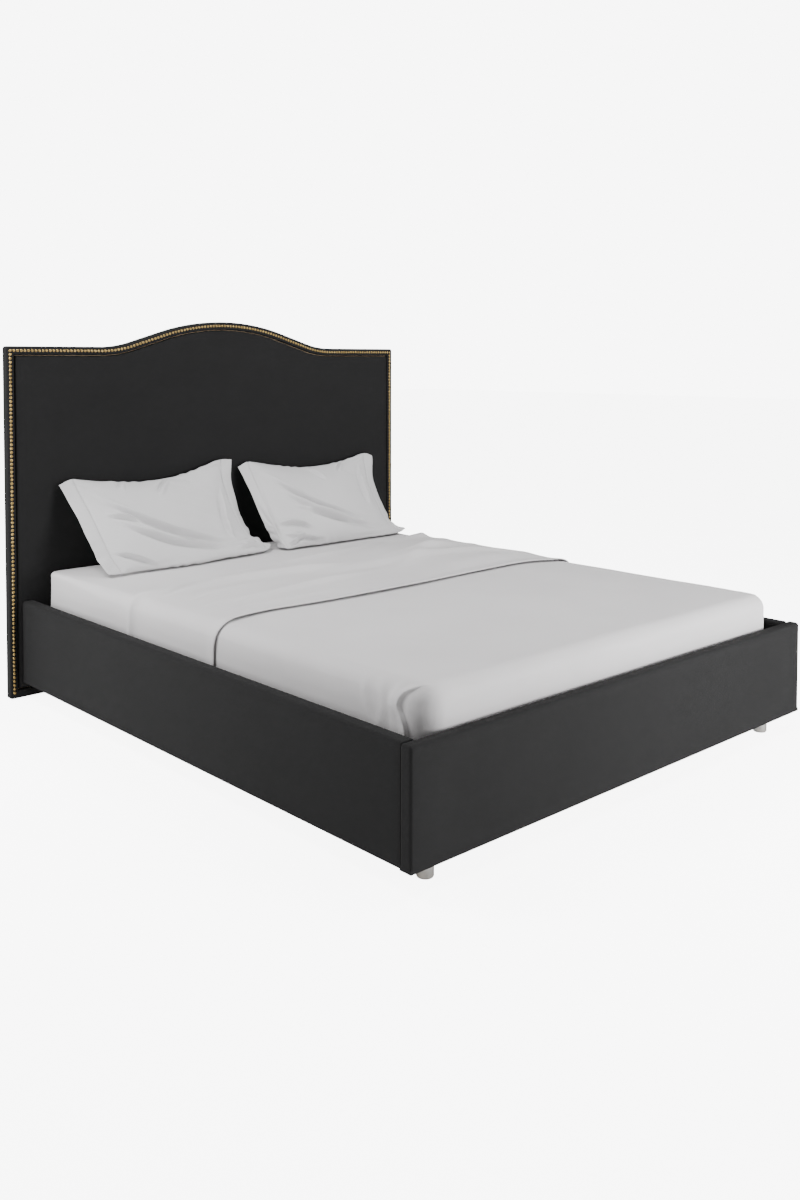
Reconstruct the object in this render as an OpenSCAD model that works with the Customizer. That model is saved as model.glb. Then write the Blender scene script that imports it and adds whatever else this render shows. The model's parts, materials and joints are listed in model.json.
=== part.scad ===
// Upholstered box bed with a camelback headboard and a lift-up slatted base.
// Origin: floor level, middle of the overall footprint. Head end is +Y, foot end is -Y, up is +Z.

/* [Overall] */
// Back of the headboard to the face of the footboard
bed_length = 2094; // [2090:1:2100]
// Outside width over the side rails
rail_outside_w = 1790; // [1786:1:1794]
// Top edge of the side rails and the footboard above the floor
rail_top = 360; // [356:1:364]
// Clear height under the rails, which is the height of the feet
foot_h = 62; // [60:1:64]

/* [Headboard] */
// Width of the headboard
headboard_w = 1884; // [1870:1:1900]
// Thickness of the headboard, pad included
headboard_t = 36; // [36:1:38]
// Height of the straight shoulders
shoulder_z = 1289; // [1250:1:1320]
// Half width of the raised middle
hump_half_w = 563; // [540:1:600]
// Steepest slope of the raised middle
hump_slope = 17; // [14:0.5:19]
// Radius of the hollow curve where the hump leaves the shoulder
hollow_r = 450; // [400:10:480]
// Radius of the crown
crown_r = 1000; // [900:10:1050]
// Width of the border outside the seam
border_w = 33; // [30:1:36]
// Distance of the nail row from the edge
nail_inset = 16; // [14:1:18]
// Diameter of a nail head
nail_d = 11; // [9:0.5:12]
// Spacing of the nails
nail_pitch = 14; // [13:0.5:20]

/* [Rails] */
// Thickness of a side rail, pad included
rail_t = 48; // [46:1:50]
// Thickness of the footboard, pad included
footboard_t = 40; // [38:1:42]
// Width of the footboard
footboard_w = 1800; // [1796:1:1804]
// Radius of the padded corners of the rails
pad_r = 12; // [8:1:14]

/* [Mattress and bedding] */
// Width of the mattress
mattress_w = 1600; // [1590:1:1602]
// Length of the mattress
mattress_l = 1990; // [1980:1:1992]
// Height of the mattress
mattress_h = 200; // [180:1:210]
// Distance from the headboard to the head edge of the top sheet
sheet_start = 735; // [600:5:800]
// Length of the turned-down part of the top sheet
turn_down = 395; // [300:5:450]

/* [Slats] */
// Width of a slat
slat_w = 53; // [45:1:60]
// Number of slats on each side
slat_count = 16; // [12:1:17]

/* [Hidden] */
$fn = 48;

upholstery = [0.16, 0.16, 0.165];
bedding = [0.82, 0.82, 0.83];
steel = [0.16, 0.17, 0.18];
bright_steel = [0.72, 0.72, 0.72];
timber = [0.80, 0.68, 0.48];
brass = [0.62, 0.50, 0.26];
black = [0.05, 0.05, 0.05];

// Planes of the box
headboard_front_y = bed_length / 2 - headboard_t;
footboard_outer_y = -bed_length / 2;
footboard_inner_y = footboard_outer_y + footboard_t;
rail_outer_x = rail_outside_w / 2;
rail_inner_x = rail_outer_x - rail_t;
rail_l = headboard_front_y - footboard_inner_y;
rail_h = rail_top - foot_h;

// Layers of the upholstered boards
pad_face_t = 13;
panel_t = 18;
wrap_t = 4;
headboard_bottom = 5;
rail_pad_t = 16;
rail_top_pad_t = 8;
rail_lining_t = 4;
footboard_pad_t = 12;
footboard_corner_r = 15;

// Storage floor
floor_top = foot_h + 28;
floor_t = 12;
bearer_t = 30;
bearer_h = floor_top - floor_t - foot_h;
corner_block_w = 92;
corner_block_l = 68;
corner_block_top = 130;
foot_r = 22;
foot_inset_x = 64;
foot_inset_y = 34;

// Lifting platform, measured in millimetres from the headboard's face towards the foot
frame_start = 16;
frame_end = 2000;
frame_bottom = 202;
frame_tube_h = 35;
frame_tube_w = 25;
frame_wall = 1.5;
frame_side_x = 795;
mattress_bottom = 258;
mattress_start = 14;
mattress_corner_r = 55;
fitted_t = 2;
sheet_t = 3;
sheet_drop = 165;
slat_t = 8;
slat_end_top = mattress_bottom - 6;
slat_rise = 5;
slat_pitch = (frame_end - frame_start - 2 * frame_tube_w - slat_w - 20) / (slat_count - 1);
holder_l = 42;

// Lift mechanism pivots: [distance from the headboard's face, height]
arm_pivot = [752, 144];
arm_end = [420, 215];
guide_pivot = [940, 107];
guide_end = [516.3, 188];
spring_reach = 180;
spring_pivot = [arm_pivot[0] + spring_reach, arm_pivot[1]];
arm_vector = arm_end - arm_pivot;
spring_pin = arm_pivot + arm_vector * spring_reach / norm(arm_vector);
guide_clearance_r = 6.5;
spring_slot = 15;

// Layers of the mechanism beside the bed's inner width: [inner x, outer x]
plate_x = [rail_inner_x - 4, rail_inner_x];
arm_x = [plate_x[0] - 7, plate_x[0] - 2];
spring_x = arm_x[0] - 12;
spring_r = 9;
guide_x = [803, 808];
platform_plate_x = [frame_side_x, frame_side_x + 4];
pivot_r = 6;
small_pivot_r = 4;
running = 0.05;

function y_at(from_head) = headboard_front_y - from_head;

// ---------- shared shapes ----------

// Both sides of the bed
module both_sides() {
    children();
    mirror([1, 0, 0]) children();
}

// Rounded rectangle, centred
module round_rect(w, h, r) {
    square([w - 2 * r, h], center = true);
    square([w, h - 2 * r], center = true);
    for (x = [-1, 1], y = [-1, 1])
        translate([x * (w / 2 - r), y * (h / 2 - r)]) circle(r);
}

// Block given by its low and high corners
module block(low, high) {
    translate(low) cube(high - low);
}

// Plate or bar on the right side, drawn as [distance from the headboard, height]
module side_plate(x) {
    translate([x[0], headboard_front_y, 0])
        rotate([90, 0, 90]) linear_extrude(x[1] - x[0]) mirror([1, 0]) children();
}

// Round pin across the bed on the right side
module cross_pin(at, r, x) {
    translate([x[0], y_at(at[0]), at[1]]) rotate([0, 90, 0]) cylinder(r = r, h = x[1] - x[0]);
}

// Outline of the headboard, pulled in by a margin
function arc_steps(n) = [for (i = [0:n]) i / n];
function headboard_half(inset) = [
    [headboard_w / 2 - inset, shoulder_z - inset],
    for (t = arc_steps(8))
        [hump_half_w - (hollow_r + inset) * sin(t * hump_slope),
         shoulder_z + hollow_r - (hollow_r + inset) * cos(t * hump_slope)],
    for (t = arc_steps(14))
        [(crown_r - inset) * sin((1 - t) * hump_slope),
         headboard_top - crown_r + (crown_r - inset) * cos((1 - t) * hump_slope)]
];
hump_straight = (hump_half_w - (hollow_r + crown_r) * sin(hump_slope)) / cos(hump_slope);
headboard_top = shoulder_z + (hollow_r + crown_r) * (1 - cos(hump_slope))
    + hump_straight * sin(hump_slope);

function mirrored(points) = [for (i = [len(points) - 2:-1:0]) [-points[i][0], points[i][1]]];
function headboard_outline(inset, bottom) = concat(
    [[headboard_w / 2 - inset, bottom]], headboard_half(inset),
    mirrored(headboard_half(inset)), [[-headboard_w / 2 + inset, bottom]]);

// Slab of the headboard's outline between two planes
module headboard_slab(inset, y_front, y_back, bottom = headboard_bottom) {
    translate([0, y_back, 0])
        rotate([90, 0, 0])
        linear_extrude(y_back - y_front)
        polygon(headboard_outline(inset, bottom));
}

// ---------- headboard ----------

panel_y = [headboard_front_y + pad_face_t, headboard_front_y + pad_face_t + panel_t];

module headboard_panel() {
    color(timber) headboard_slab(wrap_t, panel_y[0], panel_y[1], headboard_bottom + wrap_t);
}

module headboard_pad() {
    color(upholstery)
        headboard_slab(border_w, headboard_front_y, panel_y[0], headboard_bottom + border_w);
}

module headboard_border() {
    color(upholstery) difference() {
        headboard_slab(0, headboard_front_y, headboard_front_y + headboard_t - 1);
        headboard_slab(border_w, headboard_front_y - 1, panel_y[0] + 1,
            headboard_bottom + border_w);
        headboard_slab(wrap_t, panel_y[0], bed_length / 2, headboard_bottom + wrap_t);
    }
}

module headboard_back_cloth() {
    color(black) headboard_slab(wrap_t, panel_y[1], bed_length / 2, headboard_bottom + wrap_t);
}

// Domed nail with its shank in the border
module nail(x, z) {
    dome_h = 3.2;
    dome_r = (pow(nail_d / 2, 2) + dome_h * dome_h) / (2 * dome_h);
    translate([x, headboard_front_y, z]) rotate([90, 0, 0]) {
        intersection() {
            translate([0, 0, dome_h - dome_r]) sphere(dome_r);
            cylinder(d = nail_d + 2, h = dome_h + 1);
        }
        translate([0, 0, -8]) cylinder(r = 0.9, h = 9);
    }
}

side_nail_low = headboard_bottom + nail_inset + 7;
side_nail_high = shoulder_z - nail_inset;
side_nails = floor((side_nail_high - side_nail_low) / nail_pitch);
side_nail_pitch = (side_nail_high - side_nail_low) / side_nails;

module side_nail_row() {
    for (i = [0:side_nails])
        nail(headboard_w / 2 - nail_inset, side_nail_low + i * side_nail_pitch);
}

module headboard_nails_left() { color(brass) mirror([1, 0, 0]) side_nail_row(); }
module headboard_nails_right() { color(brass) side_nail_row(); }

// Point on the right half of the nail line, by its distance along the line from the corner
flat_run = headboard_w / 2 - nail_inset - hump_half_w;
hollow_run = (hollow_r + nail_inset) * hump_slope * PI / 180;
crown_run = (crown_r - nail_inset) * hump_slope * PI / 180;
half_run = flat_run + hollow_run + hump_straight + crown_run;
top_nails = 2 * round(half_run / nail_pitch);
function hollow_point(a) = [hump_half_w - (hollow_r + nail_inset) * sin(a),
    shoulder_z + hollow_r - (hollow_r + nail_inset) * cos(a)];
function crown_point(a) = [(crown_r - nail_inset) * sin(a),
    headboard_top - crown_r + (crown_r - nail_inset) * cos(a)];
function nail_point(s) =
    s < flat_run ? [headboard_w / 2 - nail_inset - s, shoulder_z - nail_inset]
    : s < flat_run + hollow_run ? hollow_point((s - flat_run) / hollow_run * hump_slope)
    : s < flat_run + hollow_run + hump_straight
        ? hollow_point(hump_slope) + (s - flat_run - hollow_run)
            * [-cos(hump_slope), sin(hump_slope)]
    : crown_point((half_run - s) / crown_run * hump_slope);

module headboard_nails_top() {
    color(brass) for (i = [1:top_nails - 1]) {
        s = i * 2 * half_run / top_nails;
        p = nail_point(min(s, 2 * half_run - s));
        nail(s <= half_run ? p[0] : -p[0], p[1]);
    }
}

module headboard_glides() {
    color(black) for (x = [-0.42, -0.15, 0.15, 0.42])
        translate([x * headboard_w, bed_length / 2 - headboard_t / 2, 0])
            cylinder(r = 13, h = headboard_bottom);
}

// ---------- side rails and footboard ----------

// Section of a right-hand rail cover, drawn as [x, z], open underneath
module rail_cover_section() {
    w = rail_t;
    difference() {
        union() {
            translate([rail_inner_x, foot_h]) square([w - pad_r, rail_h - pad_r]);
            translate([rail_inner_x + pad_r, foot_h]) square([w - 2 * pad_r, rail_h]);
            translate([rail_inner_x + pad_r, foot_h + pad_r])
                square([w - pad_r, rail_h - 2 * pad_r]);
            for (x = [rail_inner_x + pad_r, rail_outer_x - pad_r])
                translate([x, rail_top - pad_r]) circle(pad_r);
            translate([rail_outer_x - pad_r, foot_h + pad_r]) circle(pad_r);
        }
        translate([rail_inner_x + rail_lining_t, foot_h - 1])
            square([rail_t - rail_pad_t - rail_lining_t, rail_h - rail_top_pad_t + 1]);
    }
}

module right_rail_cover() {
    translate([0, headboard_front_y, 0])
        rotate([90, 0, 0]) linear_extrude(rail_l) rail_cover_section();
}

module right_rail_board() {
    block([rail_inner_x + rail_lining_t, footboard_inner_y, foot_h],
        [rail_outer_x - rail_pad_t, headboard_front_y, rail_top - rail_top_pad_t]);
}

module side_rail_left_board() { color(timber) mirror([1, 0, 0]) right_rail_board(); }
module side_rail_left_cover() { color(upholstery) mirror([1, 0, 0]) right_rail_cover(); }
module side_rail_right_board() { color(timber) right_rail_board(); }
module side_rail_right_cover() { color(upholstery) right_rail_cover(); }

module footboard_board() {
    color(timber) block(
        [-footboard_w / 2 + footboard_pad_t, footboard_outer_y + footboard_pad_t, foot_h],
        [footboard_w / 2 - footboard_pad_t, footboard_inner_y - rail_lining_t,
            rail_top - rail_top_pad_t]);
}

module footboard_cover() {
    color(upholstery) difference() {
        intersection() {
            translate([0, footboard_inner_y, (rail_top + foot_h) / 2])
                rotate([90, 0, 0]) linear_extrude(footboard_t)
                round_rect(footboard_w, rail_h, footboard_corner_r);
            translate([-footboard_w / 2, footboard_outer_y + footboard_t / 2, 0])
                rotate([90, 0, 90]) linear_extrude(footboard_w)
                translate([0, (rail_top + foot_h) / 2]) round_rect(footboard_t, rail_h, pad_r);
        }
        block([-footboard_w / 2 + footboard_pad_t, footboard_outer_y + footboard_pad_t,
                foot_h - 1],
            [footboard_w / 2 - footboard_pad_t, footboard_inner_y - rail_lining_t,
                rail_top - rail_top_pad_t]);
    }
}

// ---------- corner joints, feet and storage floor ----------

bracket_t = 4;
bracket_w = 44;
bracket_z = [132, 246];
bracket_bolt_z = [155, 222];

// Angle bracket on the right side, against one end of the rail
module corner_bracket(end_y, inwards) {
    x_in = rail_inner_x - bracket_t;
    difference() {
        union() {
            block([x_in, min(end_y, end_y + inwards * bracket_w), bracket_z[0]],
                [rail_inner_x, max(end_y, end_y + inwards * bracket_w), bracket_z[1]]);
            block([rail_inner_x - bracket_w, min(end_y, end_y + inwards * bracket_t),
                    bracket_z[0]],
                [rail_inner_x, max(end_y, end_y + inwards * bracket_t), bracket_z[1]]);
        }
        for (z = bracket_bolt_z) {
            translate([x_in - 1, end_y + inwards * 26, z])
                rotate([0, 90, 0]) cylinder(r = 3.1, h = bracket_t + 2);
            translate([rail_inner_x - 26, end_y + inwards * (bracket_t / 2), z])
                rotate([90, 0, 0]) cylinder(r = 3.1, h = bracket_t + 2, center = true);
        }
    }
}

module head_brackets() { color(steel) both_sides() corner_bracket(headboard_front_y, -1); }
module foot_brackets() { color(steel) both_sides() corner_bracket(footboard_inner_y, 1); }

// Button-head bolt pointing along +Z from under its head
module bolt(r, length) {
    head_h = 0.4 * r;
    difference() {
        translate([0, 0, -head_h]) cylinder(r = 1.8 * r, h = head_h);
        translate([0, 0, -head_h - 1]) cylinder(r = 0.8 * r, h = 0.5 * head_h + 1, $fn = 6);
    }
    cylinder(r = r, h = length);
}

module bracket_bolts() {
    color(bright_steel) both_sides()
        for (e = [[headboard_front_y, -1], [footboard_inner_y, 1]], z = bracket_bolt_z) {
            translate([rail_inner_x - bracket_t, e[0] + e[1] * 26, z])
                rotate([0, 90, 0]) bolt(3, 14);
            translate([rail_inner_x - 26, e[0] + e[1] * bracket_t, z])
                rotate([e[1] * 90, 0, 0]) bolt(3, 14);
        }
}

foot_x = rail_inner_x - foot_inset_x;
foot_y = footboard_inner_y + foot_inset_y;

module corner_blocks() {
    color(timber) both_sides() difference() {
        block([rail_inner_x - corner_block_w, footboard_inner_y, foot_h],
            [rail_inner_x, footboard_inner_y + corner_block_l, corner_block_top]);
        translate([foot_x, foot_y, foot_h - 1]) cylinder(r = 4, h = 31);
    }
}

module feet() {
    color(bright_steel) both_sides() translate([foot_x, foot_y, 0]) {
        translate([0, 0, 3]) cylinder(r = foot_r, h = foot_h - 6);
        translate([0, 0, foot_h - 3]) cylinder(r = foot_r + 6, h = 3);
        cylinder(r = foot_r - 9, h = 4);
        cylinder(r = 4, h = foot_h + 29);
    }
}

module foot_glides() {
    color(black) both_sides() translate([foot_x, foot_y, 0]) difference() {
        cylinder(r = foot_r - 2, h = 3);
        translate([0, 0, -1]) cylinder(r = foot_r - 9, h = 5);
    }
}

beam_w = 60;
center_leg_y = [y_at(400), y_at(1010), y_at(1620)];

module center_beam() {
    color(timber) block([-beam_w / 2, footboard_inner_y, foot_h],
        [beam_w / 2, headboard_front_y, foot_h + bearer_h]);
}

module center_legs() {
    color(black) for (y = center_leg_y) translate([0, y, 0]) {
        cylinder(r = 20, h = foot_h - 3);
        translate([0, 0, foot_h - 3]) cylinder(r = 27, h = 3);
    }
}

module floor_bearers() {
    color(timber) both_sides() {
        block([rail_inner_x - bearer_t, footboard_inner_y + corner_block_l, foot_h],
            [rail_inner_x, headboard_front_y, foot_h + bearer_h]);
        block([beam_w / 2, headboard_front_y - bearer_t, foot_h],
            [rail_inner_x - bearer_t, headboard_front_y, foot_h + bearer_h]);
        block([beam_w / 2, footboard_inner_y, foot_h],
            [rail_inner_x - corner_block_w, footboard_inner_y + bearer_t, foot_h + bearer_h]);
    }
}

module right_floor() {
    difference() {
        block([0, footboard_inner_y, floor_top - floor_t],
            [rail_inner_x, headboard_front_y, floor_top]);
        block([rail_inner_x - corner_block_w, footboard_inner_y - 1, floor_top - floor_t - 1],
            [rail_inner_x + 1, footboard_inner_y + corner_block_l, floor_top + 1]);
    }
}

module storage_floor_left() { color([0.90, 0.88, 0.84]) mirror([1, 0, 0]) right_floor(); }
module storage_floor_right() { color([0.90, 0.88, 0.84]) right_floor(); }

// Shelf brackets on the rails that carry the closed platform
rest_positions = [70, 1300, 1880];
rest_l = 60;
rest_t = 4;
bumper_t = 3;
rest_gap = 0.4;
rest_top = frame_bottom - rest_gap - bumper_t;

module platform_rests() {
    color(steel) both_sides() for (u = rest_positions) difference() {
        union() {
            block([frame_side_x - frame_tube_w, y_at(u + rest_l), rest_top - rest_t],
                [rail_inner_x, y_at(u), rest_top]);
            block([rail_inner_x - rest_t, y_at(u + rest_l), rest_top - 44],
                [rail_inner_x, y_at(u), rest_top]);
        }
        translate([rail_inner_x - rest_t - 1, y_at(u + rest_l / 2), rest_top - 25])
            rotate([0, 90, 0]) cylinder(r = 3.1, h = rest_t + 2);
    }
}

module rest_bumpers() {
    color(black) both_sides() for (u = rest_positions)
        block([frame_side_x - frame_tube_w, y_at(u + rest_l - 8), rest_top],
            [frame_side_x, y_at(u + 8), rest_top + bumper_t]);
}

// ---------- lift mechanism, fixed half ----------

plate_bolt_holes = [[725, 168], [725, 110], [968, 168], [850, 180]];

module lift_base_plates() {
    color(steel) both_sides() difference() {
        side_plate(plate_x) difference() {
            translate([848, 142]) round_rect(272, 100, 14);
            for (p = plate_bolt_holes) translate(p) circle(3.6);
        }
        for (p = [arm_pivot, guide_pivot])
            cross_pin(p, pivot_r - 2, [plate_x[0] - 1, plate_x[1] + 1]);
        cross_pin(spring_pivot, small_pivot_r - 1, [plate_x[0] - 1, plate_x[1] + 1]);
    }
}

module base_plate_bolts() {
    color(bright_steel) both_sides() for (p = plate_bolt_holes)
        translate([plate_x[0], y_at(p[0]), p[1]]) rotate([0, 90, 0]) bolt(3.5, 26);
}

// Stepped pin: stub in the plate, collar, journal and head
module arm_pivot_pins() {
    color(bright_steel) both_sides() {
        cross_pin(arm_pivot, pivot_r - 2, [arm_x[1], plate_x[1]]);
        cross_pin(arm_pivot, 10, [arm_x[1] + 0.2, plate_x[0]]);
        cross_pin(arm_pivot, pivot_r, [arm_x[0] - 0.3, arm_x[1] + 0.3]);
        cross_pin(arm_pivot, 9, [arm_x[0] - 1.7, arm_x[0] - 0.3]);
    }
}

module guide_pivot_pins() {
    color(bright_steel) both_sides() {
        cross_pin(guide_pivot, pivot_r - 2, [plate_x[0] - 1, plate_x[1]]);
        cross_pin(guide_pivot, 9, [guide_x[1] + 0.5, plate_x[0]]);
        cross_pin(guide_pivot, pivot_r, [guide_x[0] - 0.4, guide_x[1] + 1]);
        cross_pin(guide_pivot, 9, [guide_x[0] - 2, guide_x[0] - 0.4]);
    }
}

module spring_pivot_pins() {
    color(bright_steel) both_sides() {
        cross_pin(spring_pivot, small_pivot_r - 1, [plate_x[0] - 1, plate_x[1]]);
        cross_pin(spring_pivot, 7, [spring_x + 3.4, plate_x[0]]);
        cross_pin(spring_pivot, small_pivot_r, [spring_x - 3.4, spring_x + 4]);
        cross_pin(spring_pivot, 7, [spring_x - 4.8, spring_x - 3.4]);
    }
}

// ---------- lift mechanism, moving half ----------

// Flat bar between two points, drawn as [distance from the headboard, height]
module bar(a, b, half_w, end_r) {
    v = b - a;
    translate(a) rotate(atan2(v[1], v[0])) translate([0, -half_w]) square([norm(v), 2 * half_w]);
    for (p = [a, b]) translate(p) circle(end_r);
}

module lift_arms() {
    color(steel) both_sides() difference() {
        side_plate(arm_x) bar(arm_pivot, arm_end, 13, 16);
        for (p = [arm_pivot, arm_end])
            cross_pin(p, pivot_r + running, [arm_x[0] - 1, arm_x[1] + 1]);
        cross_pin(spring_pin, small_pivot_r - 1, [arm_x[0] - 1, arm_x[1] + 1]);
    }
}

module spring_arm_pins() {
    color(bright_steel) both_sides() {
        cross_pin(spring_pin, small_pivot_r - 1, [arm_x[0] - 1, arm_x[1]]);
        cross_pin(spring_pin, 7, [spring_x + 3.4, arm_x[0]]);
        cross_pin(spring_pin, small_pivot_r, [spring_x - 3.6, spring_x + 4]);
        cross_pin(spring_pin, 8, [spring_x - 5, spring_x - 3.6]);
    }
}

module guide_arms() {
    color(steel) both_sides() difference() {
        side_plate(guide_x) difference() {
            bar(guide_pivot, guide_end, 9, 14);
            translate(guide_end) circle(small_pivot_r + guide_clearance_r);
        }
        cross_pin(guide_pivot, pivot_r + running, [guide_x[0] - 1, guide_x[1] + 1]);
    }
}

spring_vector = spring_pin - spring_pivot;
spring_l = norm(spring_vector);
spring_tilt = atan2(spring_vector[1], -spring_vector[0]);
cylinder_l = 196;
tube_wall = 1.5;
rod_r = 4;

// Places its child's +Z axis along the right-hand gas spring, from the base pivot
module along_spring() {
    translate([spring_x, y_at(spring_pivot[0]), spring_pivot[1]])
        rotate([-90 + spring_tilt, 0, 0]) children();
}

module gas_spring_cylinders() {
    color(black) both_sides() along_spring() difference() {
        union() {
            translate([0, 0, 20]) cylinder(r = spring_r, h = cylinder_l);
            translate([-3, -7, 0]) cube([6, 14, 22]);
            rotate([0, 90, 0]) cylinder(r = 9, h = 6, center = true);
        }
        translate([0, 0, 26]) cylinder(r = spring_r - tube_wall, h = cylinder_l - 16);
        translate([0, 0, 26]) cylinder(r = rod_r + running, h = cylinder_l);
        rotate([0, 90, 0]) cylinder(r = small_pivot_r + running, h = 8, center = true);
    }
}

module gas_spring_rods() {
    color(bright_steel) both_sides() along_spring() difference() {
        union() {
            translate([0, 0, 128]) cylinder(r = rod_r, h = spring_l - 128 - 10);
            translate([0, 0, 122]) cylinder(r = spring_r - tube_wall - 0.1, h = 8);
            translate([-3, -9, spring_l - 16]) cube([6, 18, spring_slot + 26]);
            translate([0, 0, spring_l + spring_slot + 10])
                rotate([0, 90, 0]) cylinder(r = 9, h = 6, center = true);
        }
        translate([0, 0, spring_l])
            rotate([0, 90, 0]) cylinder(r = small_pivot_r + 0.3, h = 8, center = true);
        translate([-4, -small_pivot_r - 0.3, spring_l])
            cube([8, 2 * small_pivot_r + 0.6, spring_slot]);
        translate([0, 0, spring_l + spring_slot])
            rotate([0, 90, 0]) cylinder(r = small_pivot_r + 0.3, h = 8, center = true);
    }
}

// ---------- platform ----------

frame_l = frame_end - frame_start;

// Hollow tube with its length along Y
module tube_y(x, y_low, y_high) {
    difference() {
        block([x, y_low, frame_bottom], [x + frame_tube_w, y_high, frame_bottom + frame_tube_h]);
        block([x + frame_wall, y_low - 1, frame_bottom + frame_wall],
            [x + frame_tube_w - frame_wall, y_high + 1,
                frame_bottom + frame_tube_h - frame_wall]);
    }
}

module tube_x(y) {
    half = frame_side_x;
    difference() {
        block([-half, y, frame_bottom], [half, y + frame_tube_w, frame_bottom + frame_tube_h]);
        block([-half - 1, y + frame_wall, frame_bottom + frame_wall],
            [half + 1, y + frame_tube_w - frame_wall,
                frame_bottom + frame_tube_h - frame_wall]);
    }
}

module slat_frame() {
    y_head = y_at(frame_start + frame_tube_w);
    y_foot = y_at(frame_end);
    color(steel) {
        for (y = [y_head, y_foot]) tube_x(y);
        for (x = [-frame_side_x, -frame_tube_w / 2, frame_side_x - frame_tube_w])
            tube_y(x, y_foot + frame_tube_w, y_head);
    }
}

slat_first = frame_start + frame_tube_w + 10 + slat_w / 2;
slat_centers = [for (i = [0:slat_count - 1]) slat_first + i * slat_pitch];
slat_x = [8, frame_side_x - 8];

// Half-width slat, slightly arched across the bed
module slat(u) {
    span = slat_x[1] - slat_x[0];
    r = (span * span / 4 + slat_rise * slat_rise) / (2 * slat_rise);
    half_angle = asin(span / 2 / r);
    translate([(slat_x[0] + slat_x[1]) / 2, y_at(u) + slat_w / 2, slat_end_top])
        rotate([90, 0, 0]) linear_extrude(slat_w)
        polygon(concat(
            [for (t = arc_steps(12)) let (a = (2 * t - 1) * half_angle)
                [r * sin(a), r * (cos(a) - 1) + slat_rise]],
            [for (t = arc_steps(12)) let (a = (1 - 2 * t) * half_angle)
                [r * sin(a), r * (cos(a) - 1) + slat_rise - slat_t]]));
}

module right_slats() {
    for (u = slat_centers) slat(u);
}

module slats_left() { color(timber) mirror([1, 0, 0]) right_slats(); }
module slats_right() { color(timber) right_slats(); }

// Moulded cap that holds the end of a slat above a frame tube
module slat_holder(x, u, w) {
    wall = 2.5;
    difference() {
        block([x, y_at(u) - slat_w / 2 - wall, frame_bottom + frame_tube_h],
            [x + w, y_at(u) + slat_w / 2 + wall, slat_end_top + 3.5]);
        children();
    }
}

module holder_row(x, w) {
    for (u = slat_centers) slat_holder(x, u, w) {
        block([x + 5, y_at(u) - slat_w / 2 - 0.2, slat_end_top - slat_t - 0.4],
            [x + w + 1, y_at(u) + slat_w / 2 + 0.2, slat_end_top + 1.4]);
    }
}

module slat_side_holders() {
    color(black) both_sides() mirror([1, 0, 0])
        translate([-frame_side_x, 0, 0]) holder_row(0, holder_l);
}

module slat_center_holders() {
    color(black) both_sides() translate([0.5, 0, 0]) holder_row(0, holder_l / 2 + 4);
}

module anti_slip_pads() {
    color(black) for (y = [y_at(frame_start + frame_tube_w), y_at(frame_end)], x = [-600, 0, 600])
        block([x - 60, y + 2, frame_bottom + frame_tube_h],
            [x + 60, y + frame_tube_w - 2, mattress_bottom - 0.5]);
}

plate_holes = [[445, 226], [492, 226], [539, 226]];

module platform_plates() {
    color(steel) both_sides() difference() {
        side_plate(platform_plate_x) difference() {
            translate([475, 205]) round_rect(150, 62, 14);
            for (p = plate_holes) translate(p) circle(3.1);
        }
        cross_pin(arm_end, pivot_r - 2, [platform_plate_x[0] - 1, platform_plate_x[1] + 1]);
        cross_pin(guide_end, small_pivot_r - 1, [platform_plate_x[0] - 1, platform_plate_x[1] + 1]);
    }
}

module plate_bolts() {
    color(bright_steel) both_sides() for (p = plate_holes)
        translate([platform_plate_x[1], y_at(p[0]), p[1]])
            rotate([0, -90, 0]) bolt(3, 4);
}

module platform_pivot_pins() {
    color(bright_steel) both_sides() {
        cross_pin(arm_end, pivot_r - 2, [platform_plate_x[0], platform_plate_x[1] + 1]);
        cross_pin(arm_end, 9, [platform_plate_x[1], arm_x[0] - 0.3]);
        cross_pin(arm_end, pivot_r, [arm_x[0] - 1, arm_x[1] + 0.3]);
        cross_pin(arm_end, 9, [arm_x[1] + 0.3, arm_x[1] + 1.6]);
    }
}

module guide_end_pins() {
    color(bright_steel) both_sides() {
        cross_pin(guide_end, small_pivot_r - 1, [platform_plate_x[0], platform_plate_x[1] + 1]);
        cross_pin(guide_end, 12, [platform_plate_x[1], guide_x[0] - 0.6]);
        cross_pin(guide_end, small_pivot_r, [guide_x[0] - 1, guide_x[1] + 1]);
        cross_pin(guide_end, 13, [guide_x[1] + 0.6, guide_x[1] + 2]);
    }
}

strap_w = 30;
strap_t = 2;
strap_drop = 24;

// Webbing loop under the foot end of the frame
module lift_strap() {
    y = y_at(frame_end - frame_tube_w - 40);
    color(black) translate([-strap_w / 2, y, frame_bottom]) rotate([90, 0, 90])
        linear_extrude(strap_w) difference() {
            translate([0, -strap_drop + 6]) round_rect(56, 36, 15);
            translate([0, -strap_drop + 6]) round_rect(56 - 2 * strap_t, 36 - 2 * strap_t, 13);
            translate([-40, 0]) square([80, 30]);
        }
}

// ---------- bedding ----------

mattress_y = [y_at(mattress_start + mattress_l), y_at(mattress_start)];
mattress_top = mattress_bottom + mattress_h;

// Mattress outline grown by a margin, as a prism
module bed_prism(margin, z_low, z_high) {
    translate([0, (mattress_y[0] + mattress_y[1]) / 2, z_low])
        linear_extrude(z_high - z_low)
        round_rect(mattress_w + 2 * margin, mattress_l + 2 * margin,
            mattress_corner_r + margin);
}

module mattress() {
    color(bedding) bed_prism(0, mattress_bottom, mattress_top);
}

module fitted_sheet() {
    color(bedding) difference() {
        bed_prism(fitted_t, mattress_bottom, mattress_top + fitted_t);
        bed_prism(0, mattress_bottom - 1, mattress_top);
    }
}

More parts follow.
